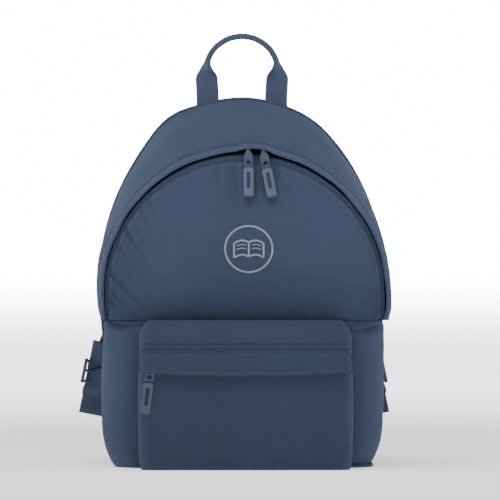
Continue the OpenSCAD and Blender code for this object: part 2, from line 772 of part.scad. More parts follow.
// The ladder lock's own frame: x across, y up the strap, z away from the bag.
module on_lock(s) {
    side = cross(lock_dir, [0, 1, 0]);
    on_side(s) translate([drawn(lock_at, s), back_out_y + lock_at[1], lock_at[2]])
        multmatrix([
            [-side[0], -lock_dir[0], 0, 0],
            [-side[1], -lock_dir[1], 1, 0],
            [-side[2], -lock_dir[2], 0, 0],
            [0, 0, 0, 1]
        ]) children();
}

lock_w = adjuster_w + 8;
lock_l = 27;
bar_r = lock_t / 2;
bar_y = [11, 0.5, -11];
fold_r = bar_r + clear;

module ladder_lock(s) {
    color(navy_dark) on_lock(s) {
        for (x = [-1, 1])
            translate([x * (lock_w / 2 - 1.75) - 1.75, -lock_l / 2, -lock_t / 2]) cube([3.5, lock_l, lock_t]);
        for (y = bar_y)
            translate([-lock_w / 2 + 1, y, 0]) rotate([0, 90, 0]) cylinder(r = bar_r, h = lock_w - 2, $fn = 32);
    }
}

// Half a turn of webbing round a bar, then a ply on each face; the turn is over the bar or under it.
module web_fold(bar, over, ply_back, ply_front) {
    up = over ? 1 : -1;
    translate([-adjuster_w / 2, bar, 0]) rotate([90, 0, 90]) linear_extrude(adjuster_w) {
        difference() {
            circle(r = fold_r + web_t, $fn = 40);
            circle(r = fold_r, $fn = 40);
            translate([over ? -20 : 0, -10]) square([20, 20]);
        }
        translate([over ? -ply_back : 0, -fold_r - web_t]) square([ply_back, web_t]);
        if (ply_front > 0) translate([over ? -ply_front : 0, fold_r]) square([ply_front, web_t]);
    }
}

module lock_loop(s) {
    color(navy) on_lock(s) web_fold(bar_y[0], false, 8, 8);
}

// The adjuster webbing: from the wing up behind the lock and over its middle bar.
adjuster_ply = 13.5;

function adjuster_route(s) =
    let (x = drawn(lock_at, s), q = bar_y[1] - adjuster_ply, y = lock_at[1] - fold_r - web_t / 2)
    [
        [x - lock_dir[0] * q, y, lock_at[2] - lock_dir[2] * q],
        [x - lock_dir[0] * (q - 8) - 0.6, y - 1.6, lock_at[2] - lock_dir[2] * (q - 8)],
        [strap_foot[0] + (x - strap_foot[0]) * 0.75 + 3, strap_foot_y + 5, 58],
        [strap_foot[0] + (x - strap_foot[0]) * 0.25 + 2, strap_foot_y + 3.6, 46],
        [strap_foot[0] + 1, strap_foot_y + 3, 35.5]
    ];

module adjuster(s) {
    pts = adjuster_route(s);
    color(navy) {
        on_lock(s) web_fold(bar_y[1], true, adjuster_ply, 0);
        on_side(s) skin([for (i = [0:len(pts) - 1])
            let (f = strap_frame(pts, i), w = adjuster_w / 2, h = web_t / 2, t = i == 0 ? f[3] * -0.4 : [0, 0, 0])
            [for (q = [[-w, -h], [-w, h], [w, h], [w, -h]]) f[0] + t + f[1] * q[0] + f[2] * q[1]]
        ]);
    }
}

// The free tail hangs from the lock's middle bar, hemmed at its end.
tail_drop = 1.9;

module tail(s) {
    color(navy) on_lock(s) translate([-adjuster_w / 2, bar_y[1] - tail_l, fold_r]) {
        cube([adjuster_w, tail_l - tail_drop, web_t]);
        translate([0, 0, web_t - 0.01]) cube([adjuster_w, 10, web_t]);
    }
}

// The cloth wing that the adjuster webbing is sewn to, on the back panel's lower corner.
module wing(s) {
    x = strap_foot[0];
    z = strap_foot[1];
    color(navy) on_side(s) translate([0, back_out_y + clear + cloth, 0]) rotate([90, 0, 0]) linear_extrude(cloth)
        polygon([[x - 38, z - 14], [x - 2, z - 14], [x + 6, z - 6], [x + 6, z + 0.6], [x - 14, z + 2.6], [x - 38, z - 4]]);
}

back_panel();
back_foam();
back_lining();
base_sheet();
lower_wrap();
top_gusset();
main_zip_flap();
gusset_zip_tape();
gusset_zip_teeth();
main_zip_stops();
back_seam_tape();
cross_seam_tape();
handle_feet();
strap_yoke();
strap_root(-1);  // strap_root_left
strap_root(1);  // strap_root_right
wing(-1);  // wing_left
wing(1);  // wing_right
pocket_side(-1);  // pocket_side_left
pocket_side(1);  // pocket_side_right
pocket_base();
pocket_front();
pocket_top();
pocket_zip_tapes();
pocket_zip_teeth();
pocket_zip_stops();
front_panel();
panel_zip_tape();
panel_zip_teeth();
badge();
slider_left();
slider_right();
tab_left();
tab_right();
grip_left();
grip_right();
pocket_slider();
pocket_tab();
pocket_grip();
pocket_flap();
handle_loop();
strap_sleeve(-1);  // strap_sleeve_left
strap_sleeve(1);  // strap_sleeve_right
strap_foam(-1);  // strap_foam_left
strap_foam(1);  // strap_foam_right
lock_loop(-1);  // lock_loop_left
lock_loop(1);  // lock_loop_right
ladder_lock(-1);  // ladder_lock_left
ladder_lock(1);  // ladder_lock_right
adjuster(-1);  // adjuster_left
adjuster(1);  // adjuster_right
tail(-1);  // tail_left
tail(1);  // tail_right
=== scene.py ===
"""School backpack: cloth, webbing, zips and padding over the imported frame."""

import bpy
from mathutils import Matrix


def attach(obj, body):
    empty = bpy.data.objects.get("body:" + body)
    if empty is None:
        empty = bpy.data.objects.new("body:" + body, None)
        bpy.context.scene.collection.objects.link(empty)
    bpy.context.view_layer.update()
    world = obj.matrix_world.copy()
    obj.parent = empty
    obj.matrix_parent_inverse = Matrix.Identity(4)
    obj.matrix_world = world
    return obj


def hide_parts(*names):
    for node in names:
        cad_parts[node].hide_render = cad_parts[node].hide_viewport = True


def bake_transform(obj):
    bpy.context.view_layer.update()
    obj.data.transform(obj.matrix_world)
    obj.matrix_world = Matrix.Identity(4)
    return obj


bl_info = {
    "name": "School backpack",
    "version": (1, 0, 0),
    "blender": (4, 5, 0),
    "location": "View3D > Sidebar > Backpack",
    "description": "Builds the cloth, webbing, zips and padding of a school backpack",
    "category": "Object",
}

import math

import bmesh
import bpy
import numpy as np
from bpy.props import FloatProperty, FloatVectorProperty, PointerProperty
from bpy.types import Operator, Panel, PropertyGroup

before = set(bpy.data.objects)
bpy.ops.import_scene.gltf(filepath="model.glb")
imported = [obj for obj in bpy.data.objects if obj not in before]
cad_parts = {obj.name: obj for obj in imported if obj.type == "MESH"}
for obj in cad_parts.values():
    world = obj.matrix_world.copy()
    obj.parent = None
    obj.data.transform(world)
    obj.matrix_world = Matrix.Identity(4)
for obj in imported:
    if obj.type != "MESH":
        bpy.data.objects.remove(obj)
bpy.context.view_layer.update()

MM = 0.001
LEAN = math.radians(12.0)
SIN, COS = math.sin(LEAN), math.cos(LEAN)
SEAM_Z, LEG, FRONT_Y, BACK_Y = 156.0, 32.0, -75.0, 75.0
ZIP_R, ZIP_N = 147.4, -10.0
BACK_ZC, BACK_RISE, HALF_W, HALF_LOW = SEAM_Z + LEG, 393.5 - SEAM_Z - LEG, 154.5, 146.5
BACK_OUT = 79.6
POCKET_Y, POCKET_HALF, POCKET_ZIP_Z = -117.0, 114.0, 112.0
HANDLE_Y = 76.1
# The pins of the main pulls lie on this radius and depth of the front's own frame; grips hang below.
PULL_R, PULL_N = 151.5, 7.0
MAIN_PULLS = (("grip_left", 1.58, 0.0), ("grip_right", 7.60, 10.0))
POCKET_PULL, POCKET_TILT = (-99.6, -123.0), -7.0
GRIP_DROP = np.array([0, -17.6, 0])
PAD_INSIDE, LINING_Y = 66.0, 75.6
TOOTH = 1.55
LAMPS = (
    ("left", (-2.1, -0.15, 0.9), 25, 1.3),
    ("right", (2.1, -0.15, 0.9), 27, 1.3),
    ("top", (-0.15, -0.38, 1.25), 12, 0.9),
    ("fill", (-0.5, -3.2, 1.3), 2, 1.4))
SURROUND, SKY = 16.0, 0.12
CAMERA_AT, CAMERA_AZ, CAMERA_EL, CAMERA_VIEW = 6.0, -1.3, 0.5, 0.535
CAMERA_LOOK = np.array([0.0070, 0.0, 0.2300])


# ---------------------------------------------------------------- sizes and colours


class BackpackSizes(PropertyGroup):
    """Sizes of the cloth pieces."""

    crown: FloatProperty(
        name="Panel crown", description="How far the front panel bulges at its fullest place",
        default=0.020, min=0.0, unit="LENGTH")
    pucker: FloatProperty(
        name="Gathers", description="Height of the gathers along the zip seam",
        default=0.0021, min=0.0, unit="LENGTH")
    stitch: FloatProperty(
        name="Stitch length", description="Length of one stitch with its gap",
        default=0.0042, min=0.002, unit="LENGTH")
    weave: FloatProperty(
        name="Weave pitch", description="Distance between two yarns of the shell cloth",
        default=0.0009, min=0.0002, unit="LENGTH")


class BackpackColours(PropertyGroup):
    """Colours of the cloth, webbing and hardware."""

    shell: FloatVectorProperty(
        name="Shell cloth", description="Colour of the woven shell",
        default=(0.033, 0.0495, 0.090), size=3, min=0.0, max=1.0, subtype="COLOR")
    webbing: FloatVectorProperty(
        name="Webbing", description="Colour of the handle and strap webbing",
        default=(0.029, 0.0435, 0.078), size=3, min=0.0, max=1.0, subtype="COLOR")
    pulls: FloatVectorProperty(
        name="Zip pulls", description="Colour of the sliders, tabs and grips",
        default=(0.034, 0.051, 0.090), size=3, min=0.0, max=1.0, subtype="COLOR")
    badge: FloatVectorProperty(
        name="Badge thread", description="Colour of the embroidered badge",
        default=(0.20, 0.235, 0.27), size=3, min=0.0, max=1.0, subtype="COLOR")


def sizes():
    return bpy.context.scene.backpack_sizes


def colours():
    return bpy.context.scene.backpack_colours


# ---------------------------------------------------------------- meshes from surfaces


def panel_point(x, v, n):
    """A point of the leaning front's own frame: x across, v up the panel, n forward of its rim."""
    x, v, n = np.broadcast_arrays(x, v, n)
    return np.stack([x, FRONT_Y + v * SIN - n * COS, SEAM_Z + v * COS + n * SIN], -1)


def foot_v(n, lift=0.3):
    """The lowest v at which a point n forward of the rim is lift above the cross seam."""
    return (lift - n * SIN) / COS


def ripple(u, v, seed, pitch, count=7):
    """Smooth waves of mixed direction: the mean of count sines whose wavelengths are near pitch."""
    rng = np.random.default_rng(seed)
    total = np.zeros(np.broadcast(u, v).shape)
    for _ in range(count):
        a, w, p = rng.uniform(0, math.tau), pitch * rng.uniform(0.7, 1.6), rng.uniform(0, math.tau)
        total += np.sin((u * math.cos(a) + v * math.sin(a)) * math.tau / w + p)
    return total / math.sqrt(count)


def lengths(points):
    """Distance along a row of points, from 0 at the first."""
    steps = np.linalg.norm(np.diff(points, axis=0), axis=1)
    return np.concatenate([[0.0], np.cumsum(steps)])


def smooth_path(points, count):
    """Catmull-Rom curve through points, as count places evenly spaced along it."""
    p = np.asarray(points, float)
    p = np.vstack([2 * p[0] - p[1], p, 2 * p[-1] - p[-2]])
    t = np.linspace(0, len(p) - 3 - 1e-9, 40 * (len(p) - 3))
    i = t.astype(int)
    f = (t - i)[:, None]
    a, b, c, d = p[i], p[i + 1], p[i + 2], p[i + 3]
    dense = (0.5 * (2 * b + (c - a) * f + (2 * a - 5 * b + 4 * c - d) * f**2
                    + (3 * b - a - 3 * c + d) * f**3))
    s = lengths(dense[:, :3])
    even = np.linspace(0, s[-1], count)
    return np.stack([np.interp(even, s, dense[:, k]) for k in range(dense.shape[1])], -1)


def ramp(x):
    """x held between 0 and 1."""
    return np.clip(x, 0.0, 1.0)


def hill(x, width, power=2):
    """1 at x = 0, falling off on both sides within the width."""
    return np.exp(-((x / width) ** power))


def falloff(x, width):
    """1 at x = 0, falling off upwards within the width."""
    return np.exp(-x / width)


def unit(v):
    """Rows of v at length 1."""
    return v / np.maximum(np.linalg.norm(v, axis=-1, keepdims=True), 1e-9)


def tangents(path):
    """Unit direction along a path at each of its points."""
    return unit(np.gradient(path, axis=0))


def make(name, verts, faces, uv=None, smooth=True, body=None, finish=None, slot=None, stands_for=(),
         closed=False):
    """A mesh object from points in millimetres, faces and one uv pair per face corner."""
    mesh = bpy.data.meshes.new(name)
    mesh.from_pydata((np.asarray(verts) * MM).tolist(), [], [list(map(int, f)) for f in faces])
    if uv is not None:
        layer = mesh.uv_layers.new(name="cloth")
        layer.data.foreach_set("uv", (np.asarray(uv, float) * MM).ravel())
    if closed:
        bm = bmesh.new()
        bm.from_mesh(mesh)
        bmesh.ops.remove_doubles(bm, verts=bm.verts, dist=1e-6)
        bmesh.ops.recalc_face_normals(bm, faces=bm.faces)
        bm.to_mesh(mesh)
        bm.free()
    mesh.polygons.foreach_set("use_smooth", [smooth] * len(mesh.polygons))
    mesh.update()
    obj = bpy.data.objects.new(name, mesh)
    bpy.context.scene.collection.objects.link(obj)
    if finish:
        mesh.materials.append(material(finish))
    if body:
        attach(obj, body)
    if stands_for:
        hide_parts(*stands_for)
    return obj


def grid_faces(nu, nv, wrap):
    """Quads of a grid of nu by nv points, closed round the second way if wrap."""
    i = np.arange(nu - 1)[:, None]
    j = np.arange(nv if wrap else nv - 1)[None, :]
    k = (j + 1) % nv
    return np.stack(np.broadcast_arrays(i * nv + j, i * nv + k, (i + 1) * nv + k, (i + 1) * nv + j), -1)


def grid_uv(p, wrap):
    """Distances along both ways of a grid, one pair per corner of each quad."""
    q = np.concatenate([p, p[:, :1]], 1) if wrap else p
    du = np.concatenate([np.zeros((1, q.shape[1])),
                         np.cumsum(np.linalg.norm(np.diff(q, axis=0), axis=2), 0)])
    dv = np.concatenate([np.zeros((q.shape[0], 1)),
                         np.cumsum(np.linalg.norm(np.diff(q, axis=1), axis=2), 1)], 1)
    u, v = np.broadcast_to(du.mean(1, keepdims=True), dv.shape), dv
    w = np.stack([u, v], -1)
    return np.stack([w[:-1, :-1], w[:-1, 1:], w[1:, 1:], w[1:, :-1]], -2)


def sheet(name, p, keep=None, flip=False, thick=0.0, **how):
    """An open sheet over a grid of points p[i, j]; keep leaves quads out; thick adds a wall inwards."""
    f = grid_faces(p.shape[0], p.shape[1], False)
    w = grid_uv(p, False)
    if keep is not None:
        f, w = f[keep], w[keep]
    f, w = f.reshape(-1, 4), w.reshape(-1, 4, 2)
    if flip:
        f, w = f[:, ::-1], w[:, ::-1]
    obj = make(name, p.reshape(-1, 3), f, w.reshape(-1, 2), **how)
    if thick:
        wall = obj.modifiers.new("wall", "SOLIDIFY")
        wall.thickness, wall.offset = thick * MM, -1.0
    return obj


def tube(name, p, **how):
    """A closed solid through rings p[i, j], with a flat cap on each end."""
    n, m = p.shape[:2]
    quads = grid_faces(n, m, True).reshape(-1, 4)
    uv = grid_uv(p, True).reshape(-1, 2)
    caps = [list(range(m - 1, -1, -1)), list(range((n - 1) * m, n * m))]
    uv = np.concatenate([uv, np.zeros((2 * m, 2))])
    return make(name, p.reshape(-1, 3), quads.tolist() + caps, uv, closed=True, **how)


def oval(w, h, count=20, power=3.0):
    """A rounded oblong w by h: a superellipse with the given power."""
    a = np.linspace(0, math.tau, count, endpoint=False)
    c, s = np.cos(a), np.sin(a)
    return np.stack([w / 2 * np.sign(c) * abs(c) ** (2 / power),
                     h / 2 * np.sign(s) * abs(s) ** (2 / power)], -1)


def swept(name, path, across, profile, **how):
    """A profile carried along a path; across is the direction of the profile's first way."""
    t = tangents(path)
    side = unit(across - t * np.sum(across * t, -1, keepdims=True))
    up = np.cross(t, side)
    prof = np.broadcast_to(profile, (len(path),) + profile.shape[-2:])
    p = path[:, None] + side[:, None] * prof[..., :1] + up[:, None] * prof[..., 1:]
    return tube(name, p, **how)


def joined(name, parts, **how):
    """One mesh from many small ones: parts is points[k, m, 3] with the same faces each."""
    points, faces = parts
    k, m = points.shape[:2]
    all_faces = (faces[None] + (np.arange(k) * m)[:, None, None]).reshape(-1, faces.shape[1])
    return make(name, points.reshape(-1, 3), all_faces, None, **how)


def puffed(obj, cap, keep, voxel=0.0):
    """Blows up a closed pad: cloth under inner pressure for 20 frames, motion capped, one subdivision.

    keep scales the motion of each vertex from its place; with a voxel size the pad is remeshed first."""
    scene = bpy.context.scene

    def settle():
        deps = bpy.context.evaluated_depsgraph_get()
        mesh = bpy.data.meshes.new_from_object(obj.evaluated_get(deps), depsgraph=deps)
        obj.modifiers.clear()
        obj.data = mesh

    def places():
        flat = np.empty(len(obj.data.vertices) * 3)
        obj.data.vertices.foreach_get("co", flat)
        return flat.reshape(-1, 3)

    if voxel:
        remesh = obj.modifiers.new("voxels", "REMESH")
        remesh.mode, remesh.voxel_size = "VOXEL", voxel * MM
        settle()
    start = places()
    cloth = obj.modifiers.new("puff", "CLOTH").settings
    cloth.use_pressure, cloth.uniform_pressure_force, cloth.quality = True, 4.0, 6
    cloth.effector_weights.gravity = 0.0
    for f in range(1, 21):
        scene.frame_set(f)
    settle()
    move = (places() - start) * keep(start / MM)
    far = np.linalg.norm(move, axis=1, keepdims=True)
    move *= np.minimum(1, cap * MM / np.maximum(far, 1e-9))
    obj.data.vertices.foreach_set("co", (start + move).ravel())
    scene.frame_set(1)
    smooth = obj.modifiers.new("smooth", "SUBSURF")
    smooth.levels = smooth.render_levels = 1
    settle()
    obj.data.polygons.foreach_set("use_smooth", [True] * len(obj.data.polygons))


def lay_cloth(obj):
    """Lays the cloth's threads over a pad by width and height."""
    mesh = obj.data
    co = np.empty(len(mesh.vertices) * 3)
    mesh.vertices.foreach_get("co", co)
    at = np.empty(len(mesh.loops), int)
    mesh.loops.foreach_get("vertex_index", at)
    layer = mesh.uv_layers.get("cloth") or mesh.uv_layers.new(name="cloth")
    layer.data.foreach_set("uv", co.reshape(-1, 3)[at][:, [0, 2]].ravel())


def stitches(name, path, normal, body, width=0.7, pitch=None, sink=0.1):
    """A row of thread along a path: each stitch is a short bead that dips at both ends."""
    pitch = pitch or sizes().stitch / MM
    s = lengths(path)
    count = max(2, int(s[-1] / pitch))
    at = (np.arange(count) + 0.5) * s[-1] / count
    c = np.stack([np.interp(at, s, path[:, k]) for k in range(3)], -1)
    t = unit(np.stack([np.interp(at, s, tangents(path)[:, k]) for k in range(3)], -1))
    nn = np.broadcast_to(normal, path.shape)
    up = np.stack([np.interp(at, s, nn[:, k]) for k in range(3)], -1)
    up = unit(up - t * np.sum(up * t, -1, keepdims=True))
    side = np.cross(up, t)
    x = np.array([-0.5, -0.36, -0.12, 0.12, 0.36, 0.5]) * pitch * 0.82
    r = np.array([0.25, 0.8, 1.0, 1.0, 0.8, 0.25]) * width / 2
    dip = np.array([-0.35, -0.05, 0.12, 0.12, -0.05, -0.35]) * width
    a = np.linspace(0, math.tau, 6, endpoint=False)
    local = np.stack([
        np.repeat(x, 6), (r[:, None] * np.cos(a)).ravel(),
        (r[:, None] * np.sin(a) * 0.8 + dip[:, None]).ravel() + width * 0.3 - sink], -1)
    p = c[:, None] + t[:, None] * local[:, :1] + side[:, None] * local[:, 1:2] + up[:, None] * local[:, 2:]
    quads = grid_faces(6, 6, True).reshape(-1, 4)
    caps = np.array([[3, 2, 1, 0], [5, 4, 3, 0], [30, 31, 32, 33], [30, 33, 34, 35]])
    faces = np.concatenate([quads, caps])
    return joined(name, (p, faces), body=body, finish="thread", slot="shell_cloth", closed=False)


# ---------------------------------------------------------------- materials


class Value:
    """A shader socket that takes part in arithmetic."""

    def __init__(self, shader, socket):
        self.shader, self.socket = shader, socket

    def _with(self, operation, *others):
        return self.shader.node("Math", {"operation": operation}, *others)

    def __add__(self, o):
        return self._with("ADD", self, o)

    __radd__ = __add__

    def __sub__(self, o):
        return self._with("SUBTRACT", self, o)

    def __rsub__(self, o):
        return self._with("SUBTRACT", o, self)

    def __mul__(self, o):
        return self._with("MULTIPLY", self, o)

    __rmul__ = __mul__

    def __pow__(self, o):
        return self._with("POWER", self, o)

    def __abs__(self):
        return self._with("ABSOLUTE", self)

    def sin(self):
        return self._with("SINE", self)

    def over(self, o):
        return self._with("GREATER_THAN", self, o)

    def largest(self, o):
        return self._with("MAXIMUM", self, o)

    def floor(self):
        return self._with("FLOOR", self)


class Shader:
    """A material whose nodes are added one by one to its surface shader."""

    def __init__(self, name, **constants):
        self.material = bpy.data.materials.new(name)
        self.material.use_nodes = True
        self.tree = self.material.node_tree
        self.surface = self.tree.nodes["Principled BSDF"]
        for key, value in constants.items():
            self.surface.inputs[key.replace("_", " ")].default_value = value

    def node(self, kind, settings, *args, out=0, **named):
        """Adds a node: its settings first, then the values or links of its sockets."""
        node = self.tree.nodes.new("ShaderNode" + kind)
        for key, value in settings.items():
            setattr(node, key, value)
        for key, value in list(enumerate(args)) + [(k.replace("_", " "), v) for k, v in named.items()]:
            if isinstance(value, Value):
                self.tree.links.new(value.socket, node.inputs[key])
            elif value is not None:
                node.inputs[key].default_value = value
        return Value(self, node.outputs[out])

    def cloth_uv(self):
        """The piece's own cloth coordinates in metres, as u and v."""
        uv = self.node("UVMap", {"uv_map": "cloth"})
        return self.split(uv)

    def split(self, vector):
        sep = self.tree.nodes.new("ShaderNodeSeparateXYZ")
        self.tree.links.new(vector.socket, sep.inputs[0])
        return [Value(self, s) for s in sep.outputs]

    def vector(self, x, y):
        return self.node("CombineXYZ", {}, x, y)

    def place(self):
        return self.node("TexCoord", {}, out=3)

    def noise(self, scale, detail=3.0, where=None, rough=0.55):
        return self.node("TexNoise", {}, Vector=where or self.place(), Scale=scale, Detail=detail,
                         Roughness=rough)

    def tint(self, factor, dark, light):
        """A colour between dark and light."""
        mix = self.node("Mix", {"data_type": "RGBA"}, factor, out=2)
        node = mix.socket.node
        node.inputs[6].default_value = (*dark, 1.0)
        node.inputs[7].default_value = (*light, 1.0)
        return mix

    def finish(self, colour=None, roughness=None, height=None, distance=0.0005, strength=1.0):
        """Joins a colour, a roughness and a height map to the surface."""
        if colour is not None:
            self.tree.links.new(colour.socket, self.surface.inputs["Base Color"])
        if roughness is not None:
            self.tree.links.new(roughness.socket, self.surface.inputs["Roughness"])
        if height is not None:
            bump = self.node("Bump", {}, Strength=strength, Distance=distance, Height=height)
            self.tree.links.new(bump.socket, self.surface.inputs["Normal"])
        return self.material


def shade(colour, factor):
    return tuple(min(1.0, c * factor) for c in colour)


def woven(name, colour, pitch, depth=0.00022, contrast=0.22, sheen=0.05, worn=0.12):
    """Plain weave: yarns over and under in two directions, with slubs, fading and lint."""
    s = Shader(name, Sheen_Weight=sheen, Sheen_Roughness=0.5, Specular_IOR_Level=0.2)
    s.surface.inputs["Sheen Tint"].default_value = (0.55, 0.65, 0.85, 1.0)
    u, v, _ = s.cloth_uv()
    cu, cv = u * (1.0 / pitch), v * (1.0 / pitch)
    warp = abs((cu * math.pi).sin())
    weft = abs((cv * math.pi).sin())
    over = ((cu.floor() + cv.floor()) * (math.pi / 2) + math.pi / 4).sin().over(0.0)
    yarns = warp * over + weft * (1.0 - over)
    slubs = s.noise(900.0, 2.0)
    fade = s.noise(9.0, 4.0)
    lint = s.noise(160.0, 5.0, rough=0.7)
    along = s.noise(1.0, 2.0, where=s.vector(u * 45, v * 1400))
    down = s.noise(1.0, 2.0, where=s.vector(u * 1400, v * 45))
    tone = fade * 0.4 + lint * 0.2 + yarns * 0.1 + slubs * 0.1 + along * 0.35 + down * 0.3 - 0.22
    colour_now = s.tint(tone, shade(colour, 1 - contrast - worn), shade(colour, 1 + contrast + worn))
    return s.finish(colour_now, lint * 0.12 + 0.78, yarns * 0.7 + slubs * 0.3, depth)


def ribbed(name, colour, pitch, depth=0.0003):
    """Webbing: herringbone ribs across the band, with fine cords along it."""
    s = Shader(name, Sheen_Weight=0.05, Sheen_Roughness=0.5, Specular_IOR_Level=0.25)
    u, v, _ = s.cloth_uv()
    zig = abs(((v * (1.0 / 0.006)) * math.pi).sin()) * 0.5
    ribs = abs(((u * (1.0 / pitch) + zig * 2.0) * math.pi).sin())
    cords = abs(((v * (1.0 / 0.0011)) * math.pi).sin())
    fuzz = s.noise(700.0, 3.0)
    fade = s.noise(14.0, 3.0)
    tone = fade * 0.4 + ribs * 0.35 + fuzz * 0.25
    return s.finish(s.tint(tone, shade(colour, 0.74), shade(colour, 1.3)), fuzz * 0.15 + 0.7,
                    ribs * 0.6 + cords * 0.25 + fuzz * 0.15, depth)


def moulded(name, colour, rough, grain, metallic=0.0, coat=0.0, depth=0.00006):
    """Moulded or enamelled hardware: fine grain, rubbed edges and faint scratches."""
    s = Shader(name, Coat_Weight=coat, Coat_Roughness=0.3, Metallic=metallic)
    grit = s.noise(grain, 3.0)
    marks = s.noise(70.0, 6.0, rough=0.75)
    worn = s.node("NewGeometry", {}, out=7)
    edge = (worn - 0.5).largest(0.0) * 1.2
    tone = marks * 0.5 + grit * 0.3 + edge
    return s.finish(s.tint(tone, shade(colour, 0.72), shade(colour, 1.5)), marks * 0.2 + (rough - 0.1),
                    grit, depth)


def thread_like(name, colour, pitch, depth=0.0002, sheen=0.3):
    """Thread laid side by side along a stitched line."""
    s = Shader(name, Sheen_Weight=sheen, Specular_IOR_Level=0.4)
    u, v, _ = s.cloth_uv()
    strands = abs(((u * (1.0 / pitch) + v * (0.35 / pitch)) * math.pi).sin())
    fuzz = s.noise(500.0, 3.0)
    tone = strands * 0.55 + fuzz * 0.45
    return s.finish(s.tint(tone, shade(colour, 0.62), shade(colour, 1.3)), fuzz * 0.2 + 0.5, strands, depth)


def plain_thread(name, colour):
    """Sewing thread seen from a distance: twisted strands as fine noise."""
    s = Shader(name, Sheen_Weight=0.2, Specular_IOR_Level=0.35)
    fuzz = s.noise(1200.0, 2.0)
    return s.finish(s.tint(fuzz, shade(colour, 0.75), shade(colour, 1.4)), fuzz * 0.2 + 0.55, fuzz, 0.0001)


def foamed(name, colour):
    """Closed-cell foam: small pale bubbles."""
    s = Shader(name)
    cells = s.node("TexVoronoi", {}, Vector=s.place(), Scale=900.0)
    fade = s.noise(40.0)
    return s.finish(s.tint(fade * 0.7 + cells * 0.3, shade(colour, 0.85), shade(colour, 1.05)),
                    fade * 0.1 + 0.8, cells, 0.0002)


def object_woven(name, colour, pitch):
    """Plain weave over the object's own place, for flat pieces that come with the frame."""
    s = Shader(name, Sheen_Weight=0.05, Specular_IOR_Level=0.25)
    x, y, z = s.split(s.place())
    a = abs(((x + y) * (math.pi / pitch)).sin())
    b = abs(((z + y * 0.6) * (math.pi / pitch)).sin())
    fade = s.noise(30.0, 4.0)
    lint = s.noise(300.0, 3.0)
    tone = fade * 0.5 + a * b * 0.3 + lint * 0.2
    return s.finish(s.tint(tone, shade(colour, 0.7), shade(colour, 1.3)), lint * 0.15 + 0.75,
                    a.largest(b), 0.0002)


def studio_floor(name):
    """Matt pale paper that also glows, as painted light: faintly near the bag, which it lights from below,
    and more with distance until it meets the surround.
    """
    s = Shader(name, Specular_IOR_Level=0.1, Emission_Strength=SURROUND)
    x, y, _ = s.split(s.place())
    reach = (x * x + y * y) ** 0.5
    # Painted light: the glow is faint near the bag and grows far off into the bright surround.
    near = s.node("MapRange", {"interpolation_type": "SMOOTHSTEP"}, reach, 0.45, 2.6, 0.045, 0.18)
    far = s.node("MapRange", {"interpolation_type": "SMOOTHSTEP"}, reach, 4.0, 16.0, 0.0, 0.82)
    glow = s.tint(near + far, (0.0, 0.0, 0.0), (1.0, 1.0, 1.0))
    s.tree.links.new(glow.socket, s.surface.inputs["Emission Color"])
    mottle = s.noise(3.0, 3.0)
    pale = s.tint(mottle, (0.9, 0.9, 0.9), (0.93, 0.93, 0.93))
    fading = s.node("Mix", {"data_type": "RGBA"}, far, out=2)
    s.tree.links.new(pale.socket, fading.socket.node.inputs[6])
    fading.socket.node.inputs[7].default_value = (0.0, 0.0, 0.0, 1.0)
    return s.finish(fading, mottle * 0.05 + 0.9)


MADE = {}


def material(name):
    """The finish with this name, made once."""
    if name not in MADE:
        c, pitch = colours(), sizes().weave
        MADE[name] = {
            "shell": lambda: woven("shell_cloth", c.shell, pitch),
            # Pocket: the shell cloth darkened to 0.86, painted shade for the pocket front's lower light.
            "pocket": lambda: woven("pocket_cloth_painted_shade", shade(c.shell, 0.86), pitch),
            # Flap: the shell cloth lightened to 1.12 with more sheen, a painted highlight on the zip flap's
            # rolled lip and on the pocket's piping.
            "flap": lambda: woven("flap_cloth", shade(c.shell, 1.12), pitch, sheen=0.08),
            "back": lambda: woven("back_cloth", shade(c.shell, 0.95), pitch * 1.3, depth=0.0003),
            "lining": lambda: object_woven("lining_cloth", shade(c.shell, 0.6), 0.0008),
            "base": lambda: object_woven("base_cloth", shade(c.shell, 0.8), 0.0011),
            "tape_band": lambda: woven("tape_band_cloth", shade(c.shell, 0.9), pitch * 0.8),
            "tape": lambda: object_woven("zip_tape", shade(c.shell, 0.62), 0.0006),
            "webbing": lambda: ribbed("webbing", c.webbing, 0.0016),
            "binding": lambda: ribbed("binding_tape", shade(c.webbing, 0.85), 0.0009, 0.00015),
            "coil": lambda: moulded("zip_coil", shade(c.shell, 0.55), 0.45, 1500.0),
            "metal": lambda: moulded("enamelled_metal", c.pulls, 0.42, 2500.0, metallic=0.25, coat=0.25),
            "grip": lambda: moulded("grip_moulding", shade(c.pulls, 1.05), 0.55, 2200.0),
            # A near-black copy of the pulls' colour for the plates in the grips' recesses: painted shade.
            "recess_shade": lambda: moulded("grip_inlay", shade(c.pulls, 0.3), 0.7, 1500.0),
            "buckle": lambda: moulded("buckle", shade(c.pulls, 0.8), 0.5, 1800.0),
            "thread": lambda: plain_thread("thread", shade(c.shell, 1.25)),
            "badge": lambda: thread_like("badge_thread", c.badge, 0.0007),
            "foam": lambda: foamed("foam", (0.75, 0.75, 0.72)),
            # The floor glows: painted light.
            "floor": lambda: studio_floor("glowing_floor_paper"),
        }[name]()
    return MADE[name]


def dress(node, finish):
    """Gives a CAD node its finish."""
    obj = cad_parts[node]
    if not obj.material_slots:
        obj.data.materials.append(material(finish))
    for s in obj.material_slots:
        s.material = material(finish)


def soften(node, width):
    """Rounds a CAD node's sharp edges."""
    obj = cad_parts[node]
    weld = obj.modifiers.new("weld", "WELD")
    weld.merge_threshold = 2e-6
    bevel = obj.modifiers.new("bevel", "BEVEL")
    bevel.width, bevel.segments, bevel.limit_method, bevel.angle_limit = (width * MM, 2, "ANGLE",
        math.radians(38))
    bevel.use_clamp_overlap = True


# ---------------------------------------------------------------- the arch


